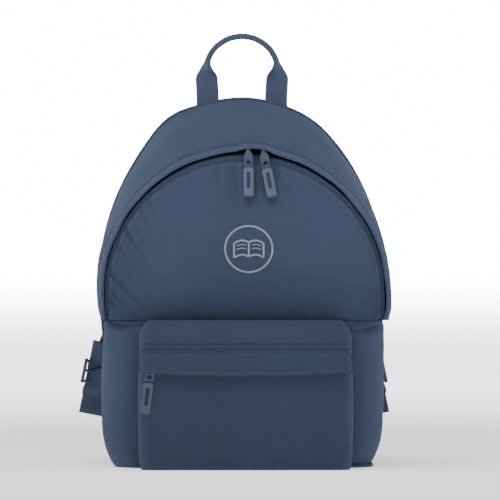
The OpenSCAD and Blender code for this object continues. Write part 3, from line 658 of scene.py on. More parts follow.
def arch(arc=120, leg=8):
    """Stations round the arch from foot to foot: ex, ey, share of the leg (1 on the arc), length."""
    a = np.linspace(math.pi, 0, arc + 1)
    up = np.linspace(0, 1, leg, endpoint=False)
    ex = np.concatenate([-np.ones(leg), np.cos(a), np.ones(leg)])
    ey = np.concatenate([np.zeros(leg), np.sin(a), np.zeros(leg)])
    t = np.concatenate([up, np.ones(arc + 1), up[::-1]])
    s = np.concatenate([LEG * up, LEG + ZIP_R * (math.pi - a),
                        LEG + math.pi * ZIP_R + LEG * (1 - up[::-1])])
    return ex, ey, t, s


def arch_point(st, r, n):
    """Points at radius r and depth n round the stations st; the legs run down to the cross seam."""
    ex, ey, t = (q[:, None] for q in st[:3])
    r, n = np.broadcast_arrays(r, n)
    v = foot_v(n) * (1 - t) + LEG * t
    return panel_point(ex * r, v + ey * r, n)


def bump(st):
    """1 over the two sliders where they meet and 0 elsewhere on the arch, with smooth shoulders."""
    x = st[0] * ZIP_R
    return hill(x - 12, 17, 4) * (st[1] > 0.5)


def waist(st, reach=9.0):
    """1 at both feet of the arch, fading to 0 a reach above them."""
    s = st[3]
    return hill(np.minimum(s, s[-1] - s), reach)


def shoulder(ex, ey):
    """Share by which the back edge swells over the two shoulders, more over the left."""
    return (0.032 * hill(ex + 0.5, 0.17) + 0.012 * hill(ex - 0.5, 0.17)) * (ey > 0)


def root_radius(st):
    """Radius of the seam between the flap and the gusset: wider over the top, drawn in at the waist."""
    return (154.6 + 4.0 * st[1] ** 4 + 2.6 * bump(st) + 0.6 * ripple(st[3], 0 * st[3], 6, 60)
            - 3.4 * waist(st))


class BACKPACK_OT_flap(Operator):
    """Sew the flap that covers the main zip"""

    bl_idname = "backpack.flap"
    bl_label = "Zip flap"

    def execute(self, context):
        st = arch()
        t = np.linspace(0, 1, 11)[None, :]
        root = root_radius(st)[:, None]
        wave = 0.5 * ripple(st[3], 0 * st[3], 5, 48)
        lip = (150.3 + 0.4 * (1 - st[1]) + 1.9 * st[1] ** 8 + 2.4 * bump(st) + 1.0 * wave
               - 2.0 * waist(st))[:, None]
        tip = (1.6 + 7.6 * bump(st) + 0.4 * wave - 2.0 * waist(st))[:, None]
        # Centreline from the root to the lip; the wall is puffed in its middle and rolled at the lip.
        r = root + (lip - root) * t + 1.1 * np.sin(math.pi * t)
        n = -13.0 + (tip + 13.0) * t
        half = 0.8 + 1.0 * np.sin(math.pi * t * 0.62) + 0 * r
        turn = np.linspace(0, math.pi, 7)[None, 1:-1]
        end = half[:, -1:]
        er, en = lip + end * np.cos(turn), tip + end * np.sin(turn)
        rr = np.concatenate([r + half, er, (r - half)[:, ::-1]], 1)
        nn = np.concatenate([n, en, n[:, ::-1]], 1)
        # The flap's finish is lightened shell cloth: a painted highlight along its rolled lip.
        tube("main_flap", arch_point(st, rr, nn), body="bag", finish="flap", slot="flap_cloth",
             stands_for=["main_zip_flap"])
        r0, n0 = r[:, 8:9] + half[:, 8:9] + 0.1, n[:, 8:9]
        path = arch_point(st, r0, n0)[:, 0]
        out = unit(path - arch_point(st, r0 - 30, n0 - 14)[:, 0])
        stitches("flap_stitches", path, out, "bag")
        return {"FINISHED"}


class BACKPACK_OT_gusset(Operator):
    """Sew the gusset that runs over the top between the flap and the back panel"""

    bl_idname = "backpack.gusset"
    bl_label = "Top gusset"

    def execute(self, context):
        st = arch()
        ex, ey, t, s = st
        front = arch_point(st, root_radius(st)[:, None] + 0.4, -12.6)
        leg_x = HALF_LOW + (HALF_W - HALF_LOW) * np.sin(t * math.pi / 2)
        swell = 1 + shoulder(ex, ey)
        low_z = np.where(t < 1, SEAM_Z - 2.2 * (1 - t) ** 8 + (BACK_ZC - SEAM_Z) * t, BACK_ZC)
        back = np.stack([ex * leg_x * swell, BACK_Y + 1.2 + 0 * ex, low_z + ey * BACK_RISE * swell],
                        -1)[:, None]
        q = np.linspace(0, 1, 48)[None, :, None]
        p = front * (1 - q) + back * q
        out = np.stack([ex, 0 * ex, ey], -1)[:, None]
        q, w = q[..., 0], s[:, None]
        # A soft belly, a groove at each seam and long shallow creases.
        belly = (3.0 * np.sin(math.pi * q) - 2.0 * falloff(q, 0.02) + 1.2 * hill(q - 0.05, 0.03)
                 - 1.4 * falloff(1 - q, 0.03))
        low = hill(np.minimum(s, s[-1] - s)[:, None], 26)
        crease = 0.55 * ripple(w, q * 120, 11, 70) * np.sin(math.pi * q) ** 0.5
        gather = (0.6 * np.sin(w * math.tau / 13 + 2 * ripple(w, 0 * w, 3, 50)) * falloff(q, 0.09)
                  * (1 - falloff(q, 0.015)))
        p = p + out * (belly * (1 - low) + (crease + gather) * (1 - low))[..., None]
        sheet("gusset", p, flip=True, thick=1.4, body="bag", finish="shell", slot="shell_cloth",
              stands_for=["top_gusset"])
        row = p[:, 2] + out[:, 0] * 0.2
        stitches("gusset_stitches", row, out[:, 0], "bag")
        return {"FINISHED"}


# ---------------------------------------------------------------- the front panel


def edge_radius(x, v):
    """Radius of the panel's sewn edge in the direction of a point: 146.4 at the sides, 141.8 at the top."""
    up = np.maximum(v - LEG, 0)
    r = np.maximum(np.hypot(x, up), 1e-6)
    return 146.4 - 4.6 * (up / r) ** 2


def edge_distance(x, v):
    """Distance of a panel point from the sewn edge."""
    return np.clip(edge_radius(x, v) - np.hypot(x, np.maximum(v - LEG, 0)), 0, None)


def panel_height(x, v):
    """Forward bulge of the front panel: a crown that fills out low down and rolls under to its foot."""
    d = edge_distance(x, v)
    rim = 1 - falloff(d, 26)
    foot = 1 - falloff(np.clip(v, 0, None), 30)
    top = 1 / (1 + np.exp((v - 112) / 18))
    full = sizes().crown / MM
    side = np.exp(-np.abs(x / 116) ** 3)
    return rim * foot * (8.8 + (full - 8.8) * top * side)


def panel_surface(x, v):
    """The front panel with its gathers along the arch, creases and seam roll."""
    d = edge_distance(x, v)
    # Gathers fan out from a point well below the arch, so they hang nearly upright near its top.
    a = np.arctan2(v + 90, x) * 230
    wave = (np.sin(a * math.tau / 17 + 2.4 * ripple(a, 0 * a, 8, 90))
            + 0.45 * np.sin(a * math.tau / 9.3 + 1.3))
    strong = np.clip(0.55 + 0.5 * ripple(a, 0 * a, 21, 170), 0.15, 1.2)
    reach = np.clip(20 + 9 * ripple(a, 0 * a, 22, 70), 9, 36)
    gathers = sizes().pucker / MM * wave * strong * hill(d, reach, 1.3) * (1 - falloff(d, 2.5))
    low = 1 - falloff(np.clip(v, 0, None), 15)
    creases = (0.5 * ripple(x, v, 4, 90) + 0.22 * ripple(x, v * 0.6, 14, 26)) * (1 - falloff(d, 20)) * low
    drape = 1.3 * np.sin(x * math.tau / 31 + v / 8) * falloff(v, 14) * ramp(np.abs(x) / 100 - 0.25)
    roll = -1.8 * falloff(d, 1.5)
    return panel_height(x, v) + gathers + creases + drape * low + roll


def panel_outline(k, count=150):
    """Outline of the panel shrunk by k towards a point low in its middle: arch, left leg, foot, right leg."""
    a = np.linspace(0, math.pi, count)
    up = np.linspace(0, 1, 12)[1:]
    foot = np.linspace(-1, 1, 60)[1:-1]
    r = edge_radius(np.cos(a), LEG + np.sin(a))
    wide = r[0] - 1.5 * up**2
    x = np.concatenate([r * np.cos(a), -wide, wide[-1] * foot, wide[::-1]])
    v = np.concatenate([LEG + r * np.sin(a), LEG * (1 - up), 0 * foot, LEG * up])
    v = np.maximum(v, foot_v(0.0))
    return x[None] * (1 - k), v[None] * (1 - k) + 62.0 * k


class BACKPACK_OT_front_panel(Operator):
    """Sew the front panel with its gathers, edge binding and badge"""

    bl_idname = "backpack.front_panel"
    bl_label = "Front panel"

    def execute(self, context):
        k = np.concatenate([np.array([0, 0.006, 0.014, 0.025, 0.04]), np.linspace(0.06, 0.995, 50)])[:,
            None]
        x, v = panel_outline(k)
        front = panel_point(x, v, panel_surface(x, v))
        inner_k = np.clip(k, 0.012, None)
        xi, vi = panel_outline(inner_k)
        back = panel_point(xi, vi, panel_height(xi, vi) - 2.4)
        rings = np.concatenate([back[::-1], front], 0)
        tube("front_panel_cloth", rings, body="front_panel", finish="shell", slot="shell_cloth",
             stands_for=["front_panel"])
        st = arch()
        inner = edge_radius(st[0], LEG + st[1] * (st[2] >= 1))[:, None] - 1.2
        t = np.linspace(0, 1, 9)[None]
        r = inner + (148.5 + 0.7 * st[1][:, None] ** 8 - inner) * t
        n = (-1.9 + 1.5 * np.sin(math.pi * t) - 1.4 * t**4 - 1.5 * waist(st)[:, None]
             + 0.25 * ripple(st[3][:, None], t * 5, 19, 30))
        rr, nn = np.concatenate([r, r[:, ::-1]], 1), np.concatenate([n, n[:, ::-1] - 1.3], 1)
        tube("panel_tape_band", arch_point(st, rr, nn), body="front_panel", finish="tape_band",
             slot="zip_tape")
        rows = arch_point(st, r[:, 5:6], n[:, 5:6] + 0.1)[:, 0]
        stitches("tape_band_stitches", rows, np.array([0, -COS, SIN]), "front_panel", width=0.55, pitch=3.0)
        r = edge_radius(st[0], LEG + st[1] * (st[2] >= 1)) - 4.6
        xs, vs = st[0] * r, np.where(st[2] < 1, LEG * st[2], LEG) + st[1] * r
        row = panel_point(xs, np.maximum(vs, 2.0), panel_surface(xs, np.maximum(vs, 2.0)))
        stitches("panel_stitches", row, np.array([0, -COS, SIN]), "front_panel")
        self.badge()
        return {"FINISHED"}

    def badge(self):
        """A ring round an open book, in raised satin stitch that follows the panel."""
        cx, cv, rad = 4.0, 74.0, 25.0
        a = np.linspace(0, math.tau, 121)
        lines = [np.stack([rad * np.cos(a), rad * np.sin(a)], -1)]
        for m in (-1, 1):
            t = np.linspace(0, 1, 24)
            page = np.stack([m * (0.4 + 15.2 * t), 7.2 + 2.4 * np.sin(math.pi * t) - 1.2 * t], -1)
            foot = page[::-1] - np.array([0, 15.5])
            lines += [page, foot, np.array([[m * 15.6, 6.0], [m * 15.6, -1.7], [m * 15.6, -9.5]])]
            for drop in (4.4, 8.4):
                lines.append(page[4:-4] - np.array([0, drop]))
        lines.append(np.array([[0, 7.2], [0, 0], [0, -8.3]]))
        for i, line in enumerate(lines):
            s = lengths(line)
            fine = np.linspace(0, s[-1], max(8, int(s[-1] / 1.2)))
            q = np.stack([np.interp(fine, s, line[:, k]) for k in (0, 1)], -1)
            x, v = cx + q[:, 0], cv + q[:, 1]
            path = panel_point(x, v, panel_surface(x, v) + 0.25)
            t = tangents(path)
            up = np.array([0, -COS, SIN])
            across = np.cross(t, up)
            thin = 1.1 if 0 < i and len(line) == 16 else 2.0
            swept(f"badge_line_{i}", path, across, oval(thin, 1.1, 10, 2.2), body="front_panel",
                  finish="badge", slot="badge_thread")
        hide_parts("badge")


# ---------------------------------------------------------------- the lower body and back


def plan_u(half, front, radius, corner=22, side=26, face=60):
    """A plan from the back left round the front to the back right, with round front corners."""
    ys = np.linspace(BACK_Y + 1.2, front + radius, side, endpoint=False)
    a = np.linspace(math.pi, 1.5 * math.pi, corner, endpoint=False)
    b = np.linspace(1.5 * math.pi, 2 * math.pi, corner, endpoint=False)
    xs = np.linspace(-half + radius, half - radius, face, endpoint=False)
    left = np.stack([-half + 0 * ys, ys], -1)
    lc = np.stack([-half + radius + radius * np.cos(a), front + radius + radius * np.sin(a)], -1)
    mid = np.stack([xs, front + 0 * xs], -1)
    rc = np.stack([half - radius + radius * np.cos(b), front + radius + radius * np.sin(b)], -1)
    right = np.stack([half + 0 * ys, ys[::-1]], -1)
    return np.concatenate([left, lc, mid, rc, right])


class BACKPACK_OT_lower_body(Operator):
    """Sew the lower body and the piping on its cross seam"""

    bl_idname = "backpack.lower_body"
    bl_label = "Lower body"

    def execute(self, context):
        z = np.concatenate([np.array([0, 0.4, 1.2, 2.6, 4.5, 7, 10, 14]), np.linspace(19, 134, 30),
                            np.linspace(135.5, 155.8, 22)])
        base = plan_u(HALF_LOW, FRONT_Y, 42.0)
        nrm = np.gradient(base, axis=0)
        nrm = unit(np.stack([nrm[:, 1], -nrm[:, 0]], -1))
        s = lengths(base)[None, :]
        zz = z[:, None]
        away = np.abs(base[:, 0])[None] / HALF_LOW
        bx, by = base[:, 0][None], base[:, 1][None]
        seam = 156 - (9 + 3 * np.sign(bx)) * ramp((150 - np.abs(bx)) / 30) ** 0.8 * ramp((20 - by) / 60)
        tuck = 12.5 * ramp(1 - zz / 52) ** 2.2 + 3.2 * falloff(zz, 2.2)
        behind = ramp((by - 20) / 56)
        belly = 2.2 * np.sin(math.pi * ramp((zz - 6) / 150)) ** 0.8 * (1 - 0.75 * behind)
        groove = -2.2 * falloff(np.abs(seam - zz), 2.4) + 0.9 * hill(seam - 7 - zz, 5)
        pulls = 0.8 * ripple(s * 0.6, zz, 17, 60) * hill(zz - 130, 34) * away**3
        folds = 1.2 * np.sin(s * math.tau / 34 + zz / 9) * falloff(np.abs(seam - zz), 9) * away**4
        soft = 0.45 * ripple(s, zz, 33, 80) + 0.2 * ripple(s, zz, 34, 24)
        tuck = tuck * (0.25 + 0.75 * away**2)
        off = -tuck + belly + groove + pulls + folds + soft * ramp(zz / 12)
        p = np.concatenate([base[None] + nrm[None] * off[..., None],
                            np.broadcast_to(zz[..., None], off.shape + (1,))], -1)
        p[..., 0] -= 2.6 * (1 - zz / 156) * (1 - behind)
        sheet("lower_body", p, flip=True, thick=1.6, body="bag", finish="shell", slot="shell_cloth",
              stands_for=["lower_wrap", "cross_seam_tape"])
        lines = []
        for h in (seam[0] - 0.2, seam[0] - 5.5):
            k = np.argmin(np.abs(p[..., 2] - h[None]), 0)
            row = p[k, np.arange(p.shape[1])]
            row[:, 2] = h
            lines.append(row)
        out = np.concatenate([nrm, np.zeros((len(nrm), 1))], -1)
        swept("cross_seam_piping", lines[0] + out * 0.5, np.tile([0, 0, 1.0], (len(out), 1)),
              oval(1.7, 2.0, 10, 2.2),
              body="bag", finish="shell", slot="shell_cloth")
        stitches("lower_body_stitches", lines[1] + out * 0.1, out, "bag")
        dress("base_sheet", "base")
        return {"FINISHED"}


def back_outline(inset, count=160):
    """Outline of the back panel: half ellipse over straight sides with drawn-in bottom corners."""
    a = np.linspace(0, math.pi, count)
    swell = 1 + shoulder(np.cos(a), np.sin(a))
    top = np.stack([(HALF_W * swell - inset) * np.cos(a),
                    BACK_ZC + (BACK_RISE * swell - inset) * np.sin(a)], -1)
    z = np.linspace(BACK_ZC, 3 + inset, 60)[1:]
    pull = 12.5 * ramp(1 - z / 52) ** 2.2 + (HALF_W - HALF_LOW) * (1 - ramp((z - 100) / 86))
    left = np.stack([-(HALF_W - inset - pull), z], -1)
    foot_x = np.linspace(left[-1, 0], -left[-1, 0], 50)[1:-1]
    foot = np.stack([foot_x, 3 + inset - 1.5 * (1 - (foot_x / foot_x[0]) ** 8) + 0 * foot_x], -1)
    right = left[::-1] * np.array([-1, 1])
    return np.concatenate([top, left, foot, right])


def to_outline(x, z, o):
    """Distance of points from an outline's corners."""
    return np.min(np.hypot(x[..., None] - o[::3, 0], z[..., None] - o[::3, 1]), -1)


class BACKPACK_OT_back(Operator):
    """Sew the padded back panel with its quilted channels and bound seam"""

    bl_idname = "backpack.back"
    bl_label = "Back panel"

    def execute(self, context):
        k = np.concatenate([np.array([0, 0.006, 0.014]), np.linspace(0.025, 0.995, 90)])[:, None]
        o = back_outline(0.0)
        c = np.array([0.0, 196.0])
        x = o[None, :, 0] * (1 - k) + c[0] * k
        z = o[None, :, 1] * (1 - k) + c[1] * k
        near = to_outline(x, z, o)
        y = BACK_OUT - 1.2 - 2.4 * falloff(near, 2.2)
        rings = np.concatenate([np.stack([x * 0.995, PAD_INSIDE + 0 * x, z], -1)[::-1],
                                np.stack([x, y, z], -1)])
        pad = tube("back_pad", rings, finish="back", slot="back_cloth", stands_for=["back_panel"])
        puffed(pad, 4.0, lambda q: ramp((q[:, 1:2] - 74.0) / 3.0) * [0.1, 1.0, 0.1], voxel=4.0)
        mesh = pad.data
        q = np.empty(len(mesh.vertices) * 3)
        mesh.vertices.foreach_get("co", q)
        q = q.reshape(-1, 3) / MM
        # The filling stops at the lining, and the quilting is drawn in after it has swelled.
        q[:, 1] = np.maximum(q[:, 1], LINING_Y)
        q[:, 1] -= self.quilt(q[:, 0], q[:, 2], o) * ramp((q[:, 1] - 76.5) / 1.5)
        mesh.vertices.foreach_set("co", (q * MM).ravel())
        mesh.update()
        lay_cloth(pad)
        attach(pad, "bag")
        loop = np.concatenate([o, o[:1]])
        path = np.stack([loop[:, 0], 77.0 + 0 * loop[:, 0], loop[:, 1]], -1)
        a = path[:-1]
        t = unit(np.roll(a, -1, 0) - np.roll(a, 1, 0))
        out = np.cross(t, [0, 1.0, 0])
        out *= np.sign(np.sum(out * (a - [0, 77, 196]), -1, keepdims=True))
        prof = oval(4.2, 3.4, 12, 2.2)
        ring = a[:, None] + out[:, None] * (prof[:, :1] - 0.6) + np.array([0, 1.0, 0]) * prof[:, 1:]
        ring = np.concatenate([ring, ring[:1]])
        f = grid_faces(len(ring), 12, True).reshape(-1, 4)
        make("back_binding", ring.reshape(-1, 3), f, grid_uv(ring, True).reshape(-1, 2), closed=True,
             body="bag",
             finish="binding", slot="lining", stands_for=["back_seam_tape"])
        inset = back_outline(14.0)
        row = np.stack([inset[:, 0], BACK_OUT - 0.7 + 0 * inset[:, 0], inset[:, 1]], -1)
        stitches("back_border_stitches", row, np.array([0, 1.0, 0]), "bag")
        for node, finish in (("back_foam", "foam"), ("back_lining", "lining")):
            dress(node, finish)
        return {"FINISHED"}

    def quilt(self, x, z, o):
        """Depth of the sewn channels: a border, two upright lines and three rungs on each side."""
        near = to_outline(x, z, o)
        inside = near > 20
        border = hill(near - 20, 3.0)
        spine = hill(np.abs(x) - 22, 3.0) * inside
        rungs = sum(hill(z - h, 3.0) for h in (96, 176, 256)) * inside * (np.abs(x) > 22)
        return 3.2 * np.maximum(border, np.maximum(spine, rungs)) - 0.4 * ripple(x, z, 51, 60)


# ---------------------------------------------------------------- the pocket


def pocket_rings():
    """Levels of the pocket from the floor up: height, front depth and half width, rounded over at the top."""
    low = np.array([[0.2, 3.6], [0.6, 2.0], [1.6, 0.9], [3.2, 0.2]])
    z1 = np.concatenate([low[:, 0], np.linspace(6, 100, 26), [103.5, 106.5, 110, 114, 117.5, 120.5],
                         np.arange(123, 129.6, 0.5)])
    pinch = np.concatenate([low[:, 1], np.zeros(len(z1) - 4)])
    y1 = -120.0 - 2.2 * np.sin(math.pi * ramp(z1 / 112)) + pinch
    y1 = y1 + np.interp(z1, [117.5, 123.5, 126, 129.5], [0, 0.3, 1.2, 2.4])
    a = np.concatenate([np.linspace(0, 0.16, 13)[1:], np.linspace(0.16, 1, 22)[1:]])
    z2 = 129.5 + 26.1 * np.sin(a * math.pi / 2)
    y2 = -117.6 + 40.8 * (1 - np.cos(a * math.pi / 2)) ** 0.9
    z, y = np.concatenate([z1, z2]), np.concatenate([y1, y2])
    w = POCKET_HALF - 3.6 - 10.0 * ramp((z - 139) / 17) ** 2.4
    w = w + 1.4 * np.sin(math.pi * ramp(z / 120)) - 2.0 * ramp(1 - z / 14) ** 2
    return z, y, w


class BACKPACK_OT_pocket(Operator):
    """Sew the front pocket, its cover flap, zip and seams"""

    bl_idname = "backpack.pocket"
    bl_label = "Front pocket"

    def execute(self, context):
        z, y, w = pocket_rings()
        face = np.concatenate([[-108.0], np.linspace(-102, 102, 70), [108.0]])
        plan = np.array([self.ring(front, half, face) for front, half in zip(y, w)])
        x, yy = plan[..., 0], plan[..., 1]
        zz = np.broadcast_to(z[:, None], x.shape)
        depth = ramp((-76 - yy) / 30)
        front = ramp((-yy - 100) / 16)
        sag = 1.6 * np.cos(np.clip(x / 114, -1, 1) * math.pi / 2) * np.sin(math.pi * ramp(zz / 104))
        soft = 0.5 * ripple(x, zz, 61, 70) * depth * ramp(zz / 10)
        top = ramp((zz - 128) / 8)
        yy = yy + 1.7 * (hill(zz - 131.8, 0.9) + 0.8 * hill(zz - 126.2, 0.8)) * front
        wrink = (0.8 * np.sin(x * math.tau / 23 + 2.2 * ripple(x, zz, 62, 40)) * hill(zz - 141, 9)
                 * ramp(1.3 - np.abs(x) / 110))
        yy = yy - (sag * front + soft)
        zz = zz + (wrink * 0.55 + soft * 0.5) * top * (1 - ramp((zz - 150) / 5))
        p = np.stack([x, yy, zz], -1)
        mid_z = (z[:-1] + z[1:]) / 2
        mid_x = (x[0, :-1] + x[0, 1:]) / 2
        hole = ((np.abs(mid_z - POCKET_ZIP_Z) < 5.4)[:, None]
                & ((np.abs(mid_x) < 108.0) & (yy[10, :-1] < -110))[None])
        # The pocket's finish is darkened shell cloth: painted shade.
        sheet("pocket_cloth_painted_shade", p, keep=~hole, flip=True, thick=1.3, body="bag", finish="pocket",
              slot="shell_cloth",
              stands_for=["pocket_side_left", "pocket_side_right", "pocket_base", "pocket_front",
                          "pocket_top"])
        self.floor(p)
        self.seams(p, z)
        self.flap()
        self.zip()
        return {"FINISHED"}

    def ring(self, front, half, face):
        """A level of the pocket in plan: side, round corner, face, round corner, side."""
        radius = min(11.0, max(0.6, (-76.2 - front) * 0.6))
        ys = np.linspace(-75.6, front + radius, 16, endpoint=False)
        a = np.linspace(math.pi, 1.5 * math.pi, 12, endpoint=False)[1:]
        left = np.stack([-half + 0 * ys, ys], -1)
        lc = np.stack([-half + radius + radius * np.cos(a), front + radius + radius * np.sin(a)], -1)
        fx = face / 114.0 * half
        fx = np.clip(fx, -half + radius, half - radius)
        mid = np.stack([fx, front + 0 * fx], -1)
        rc = lc[::-1] * np.array([-1, 1])
        right = left[::-1] * np.array([-1, 1])
        return np.concatenate([left, lc, mid, rc, right])

    def floor(self, p):
        """The pocket's base, from its front's lowest level back to the body."""
        edge = p[1]
        back = edge.copy()
        back[:, 1] = -75.4
        t = np.linspace(0, 1, 8)[:, None, None]
        q = edge[None] * (1 - t) + back[None] * t
        q[..., 2] = 0.5 + 0.25 * ripple(q[..., 0], q[..., 1], 7, 30)
        sheet("pocket_floor", q, thick=1.2, body="bag", finish="shell", slot="shell_cloth")

    def seams(self, p, z):
        """Piping down both front corners and over the top, and the two sewn lines above the flap."""
        for name, col in (("left", 21), ("right", -22)):
            path = smooth_path(p[3:, col], 120)
            out = np.tile([-1.0 if name == "left" else 1.0, -1.0, 0.35], (len(path), 1))
            # The piping takes the lightened flap cloth: a painted highlight on its round edge.
            swept("pocket_piping_" + name, path, out, oval(2.3, 2.3, 10, 2.0), body="bag",
                  finish="flap", slot="shell_cloth")
        for i, level in enumerate((125.0, 130.4)):
            k = int(np.argmin(abs(z - level)))
            row = p[k, 28:-28]
            path = row + np.array([0, -0.15, 0.0])
            stitches(f"pocket_seam_{i}", path, np.array([0, -1.0, 0.2]), "bag")
        k = len(z) - 3
        stitches("pocket_top_stitches", p[k, 24:-24] + np.array([0, -0.1, 0.2]), np.array([0, -0.4, 1.0]),
                 "bag")

    def flap(self):
        """The cover flap: falls from its seam, bows over the slider and droops in the middle."""
        x = np.linspace(-110.6, 110.6, 110)[None, :]
        t = np.linspace(0, 1, 16)[:, None]
        end = ramp((np.abs(x) - 104.5) / 6)
        drop = (23.0 + 1.8 * np.cos(x / 114 * math.pi / 2) - 3.0 * ramp(x / 114) ** 3
                - 1.5 * ramp(-x / 114) ** 3)
        bow = 4.9 * ramp(t / 0.36) ** 0.8 + 0.5 * np.sin(math.pi * t)
        y = -121.3 - bow + end**2 * 4.0 + 0.35 * ripple(x, t * 23, 71, 50) * t
        z = 123.6 - drop * t
        outer = np.stack(np.broadcast_arrays(x, y - 0.9 - 0.5 * hill(1 - t, 0.1), z), -1)
        inner = np.stack(np.broadcast_arrays(x, y + 0.7, z), -1)
        ring = np.concatenate([inner[::-1], outer], 0).transpose(1, 0, 2)
        # The cover flap takes the same darkened cloth: painted shade.
        flap = tube("pocket_cover_flap", ring, body="pocket_flap", finish="pocket", slot="flap_cloth",
                    stands_for=["pocket_flap"])
        row = outer[13, 3:-3]
        stitches("pocket_flap_stitches", row, np.array([0, -1.0, 0]), "pocket_flap")
        return flap

    def zip(self):
        """Coiled teeth on both sides of the pocket's zip."""
        for name, sgn in (("upper", 1), ("lower", -1)):
            x = np.linspace(-108.5, 108.5, 900)
            path = np.stack([x, POCKET_Y + 0 * x, POCKET_ZIP_Z + sgn * 1.9 + 0 * x], -1)
            coil(f"pocket_coil_{name}", path, np.tile([0, 0, 1.0], (len(x), 1)), x, "bag",
                 ["pocket_zip_teeth"] if sgn > 0 else [])
        dress("pocket_zip_tapes", "tape")
        dress("pocket_zip_stops", "metal")


def coil(name, path, across, s, body, stands_for):
    """One row of a coil zip: an oblong strip whose thickness swells once for each tooth."""
    swell = 0.62 + 0.38 * np.abs(np.sin(s * math.pi / TOOTH))[:, None, None]
    prof = oval(2.6, 1.5, 8, 2.4)[None] * np.concatenate([0.9 + 0.1 * swell, swell], -1)
    return swept(name, path, across, prof, body=body, finish="coil", slot="zip_coil", stands_for=stands_for)


def turned(degrees):
    """Rotation matrix about the third axis."""
    t = math.radians(degrees)
    return np.array([[math.cos(t), -math.sin(t), 0], [math.sin(t), math.cos(t), 0], [0, 0, 1]])


class BACKPACK_OT_main_zip(Operator):
    """Coil the main zip's teeth and finish its tapes, sliders and pulls"""

    bl_idname = "backpack.main_zip"
    bl_label = "Zips"

    def execute(self, context):
        st = arch(arc=1400, leg=60)
        for name, body, n, node in (("gusset", "bag", -1.9, "gusset_zip_teeth"),
                                    ("panel", "front_panel", 1.9, "panel_zip_teeth")):
            path = arch_point(st, ZIP_R, ZIP_N + n)[:, 0]
            coil(f"{name}_coil", path, np.tile([0, -COS, SIN], (len(path), 1)), st[3], body, [node])
        for node in ("gusset_zip_tape", "panel_zip_tape"):
            dress(node, "tape")
        dress("main_zip_stops", "metal")
        for nodes, finish, width in (
                (("slider_left", "slider_right", "pocket_slider"), "metal", 0.35),
                (("tab_left", "tab_right", "pocket_tab"), "metal", 0.3),
                (("grip_left", "grip_right", "pocket_grip"), "grip", 0.7)):
            for node in nodes:
                dress(node, finish)
                soften(node, width)
        lean = np.array([[1, 0, 0], [0, COS, SIN], [0, -SIN, COS]])
        # Each main grip gets a dark plate in its recess: painted shade.
        for which, angle, tilt in MAIN_PULLS:
            a = math.radians(angle)
            turn = turned(tilt)
            pivot = np.array([PULL_R * math.sin(a), LEG + PULL_R * math.cos(a), PULL_N])
            self.recess_shade(which, lambda q: self.from_panel(pivot + (q @ lean.T + GRIP_DROP) @ turn.T))

        def on_pocket(q):
            x, z, y = np.moveaxis((q + GRIP_DROP) @ turned(POCKET_TILT).T, -1, 0)
            return np.stack([x + POCKET_PULL[0], POCKET_PULL[1] - y, z + POCKET_ZIP_Z], -1)

        # The pocket grip gets the same painted-shade plate in its recess.
        self.recess_shade("pocket_grip", on_pocket)
        return {"FINISHED"}

    def from_panel(self, q):
        return panel_point(q[..., 0], q[..., 1], q[..., 2])

    def recess_shade(self, which, place):
        """A dark plate on the floor of a grip's recess: painted shade in the recess."""
        prof = oval(3.3, 17.8, 16, 5.0)
        z = np.array([0.85, 1.25, 1.3])[:, None]
        size = np.array([1.0, 1.0, 0.9])[:, None]
        q = np.stack([prof[None, :, 0] * size, prof[None, :, 1] * size - 17.2, z + 0 * prof[None, :, 0]],
                     -1)
        tube(which + "_inlay", place(q), body=which, finish="recess_shade", slot="grip_moulding")



# ---------------------------------------------------------------- webbing and straps


class BACKPACK_OT_handle(Operator):
    """Twist the webbing handle"""

    bl_idname = "backpack.handle"
    bl_label = "Handle"

    def execute(self, context):
        half = [(-37, 378), (-37, 388), (-37.2, 398), (-37.8, 408), (-38.4, 418), (-38.4, 427),
                (-36.6, 435.5),
                (-32.0, 444.5), (-25.0, 451.8), (-14.0, 458.2), (0, 460.8)]
        pts = half + [(-x, z) for x, z in half[-2::-1]]
        line = smooth_path([(x, HANDLE_Y, z) for x, z in pts], 150)
        s = lengths(line)
        f = np.minimum(s, s[-1] - s) / (s[-1] / 2)
        # The twist is done in the neck, and the crown is folded to half its width.
        turn = ramp((f - 0.34) / 0.22)
        turn = turn * turn * (3 - 2 * turn)
        tw = turn * math.pi / 2
        t = tangents(line)
        flat = unit(np.cross(t, [0, 1.0, 0]))
        across = flat * np.cos(tw)[:, None] + np.array([0, 1.0, 0]) * np.sin(tw)[:, None]
        w = 24.4 - 11.4 * turn - 2.0 * np.sin(math.pi * turn) ** 2
        h = 1.9 + 4.7 * turn + 2.2 * np.sin(math.pi * turn)
        base = oval(1.0, 1.0, 24, 4.0)
        prof = base[None] * np.stack([w, h], -1)[:, None]
        crease = 1 - 0.35 * np.sin(math.pi * turn)[:, None] * np.exp(-((base[:, 0] * 4) ** 2))[None]
        prof[..., 1] *= crease
        loop = swept("handle_webbing", line, across, prof, finish="webbing", slot="webbing",
                     stands_for=["handle_loop", "handle_feet"])
        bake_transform(loop)
        return {"FINISHED"}


# Centreline of a strap from its root down: across, out from the back, height, width.
TOP = [(44, 3.2, 358, 58), (45, 7, 346, 59), (47, 14, 330, 60), (51, 23, 306, 60), (58, 29, 280, 60),
       (68, 31, 252, 60), (80, 31, 224, 58), (95, 28, 194, 54), (115, 22, 163, 48), (129, 16, 138, 40),
       (139, 12, 120, 35)]
LOCK_AT, LOCK_DIR, LOCK_HALF = (154.0, 15.0, 95.0), (0.2, -0.98), 13.5
YOKE_Z = 357.0
# How far each strap's lower half hangs in towards the middle.
DRAW = {"left": 0.0, "right": 16.0}


def drawn(x, z, side):
    """Sideways place of a strap point; the right strap hangs a little nearer the middle."""
    return x - DRAW[side] * max(0.0, min(1.0, (300 - z) / 170))


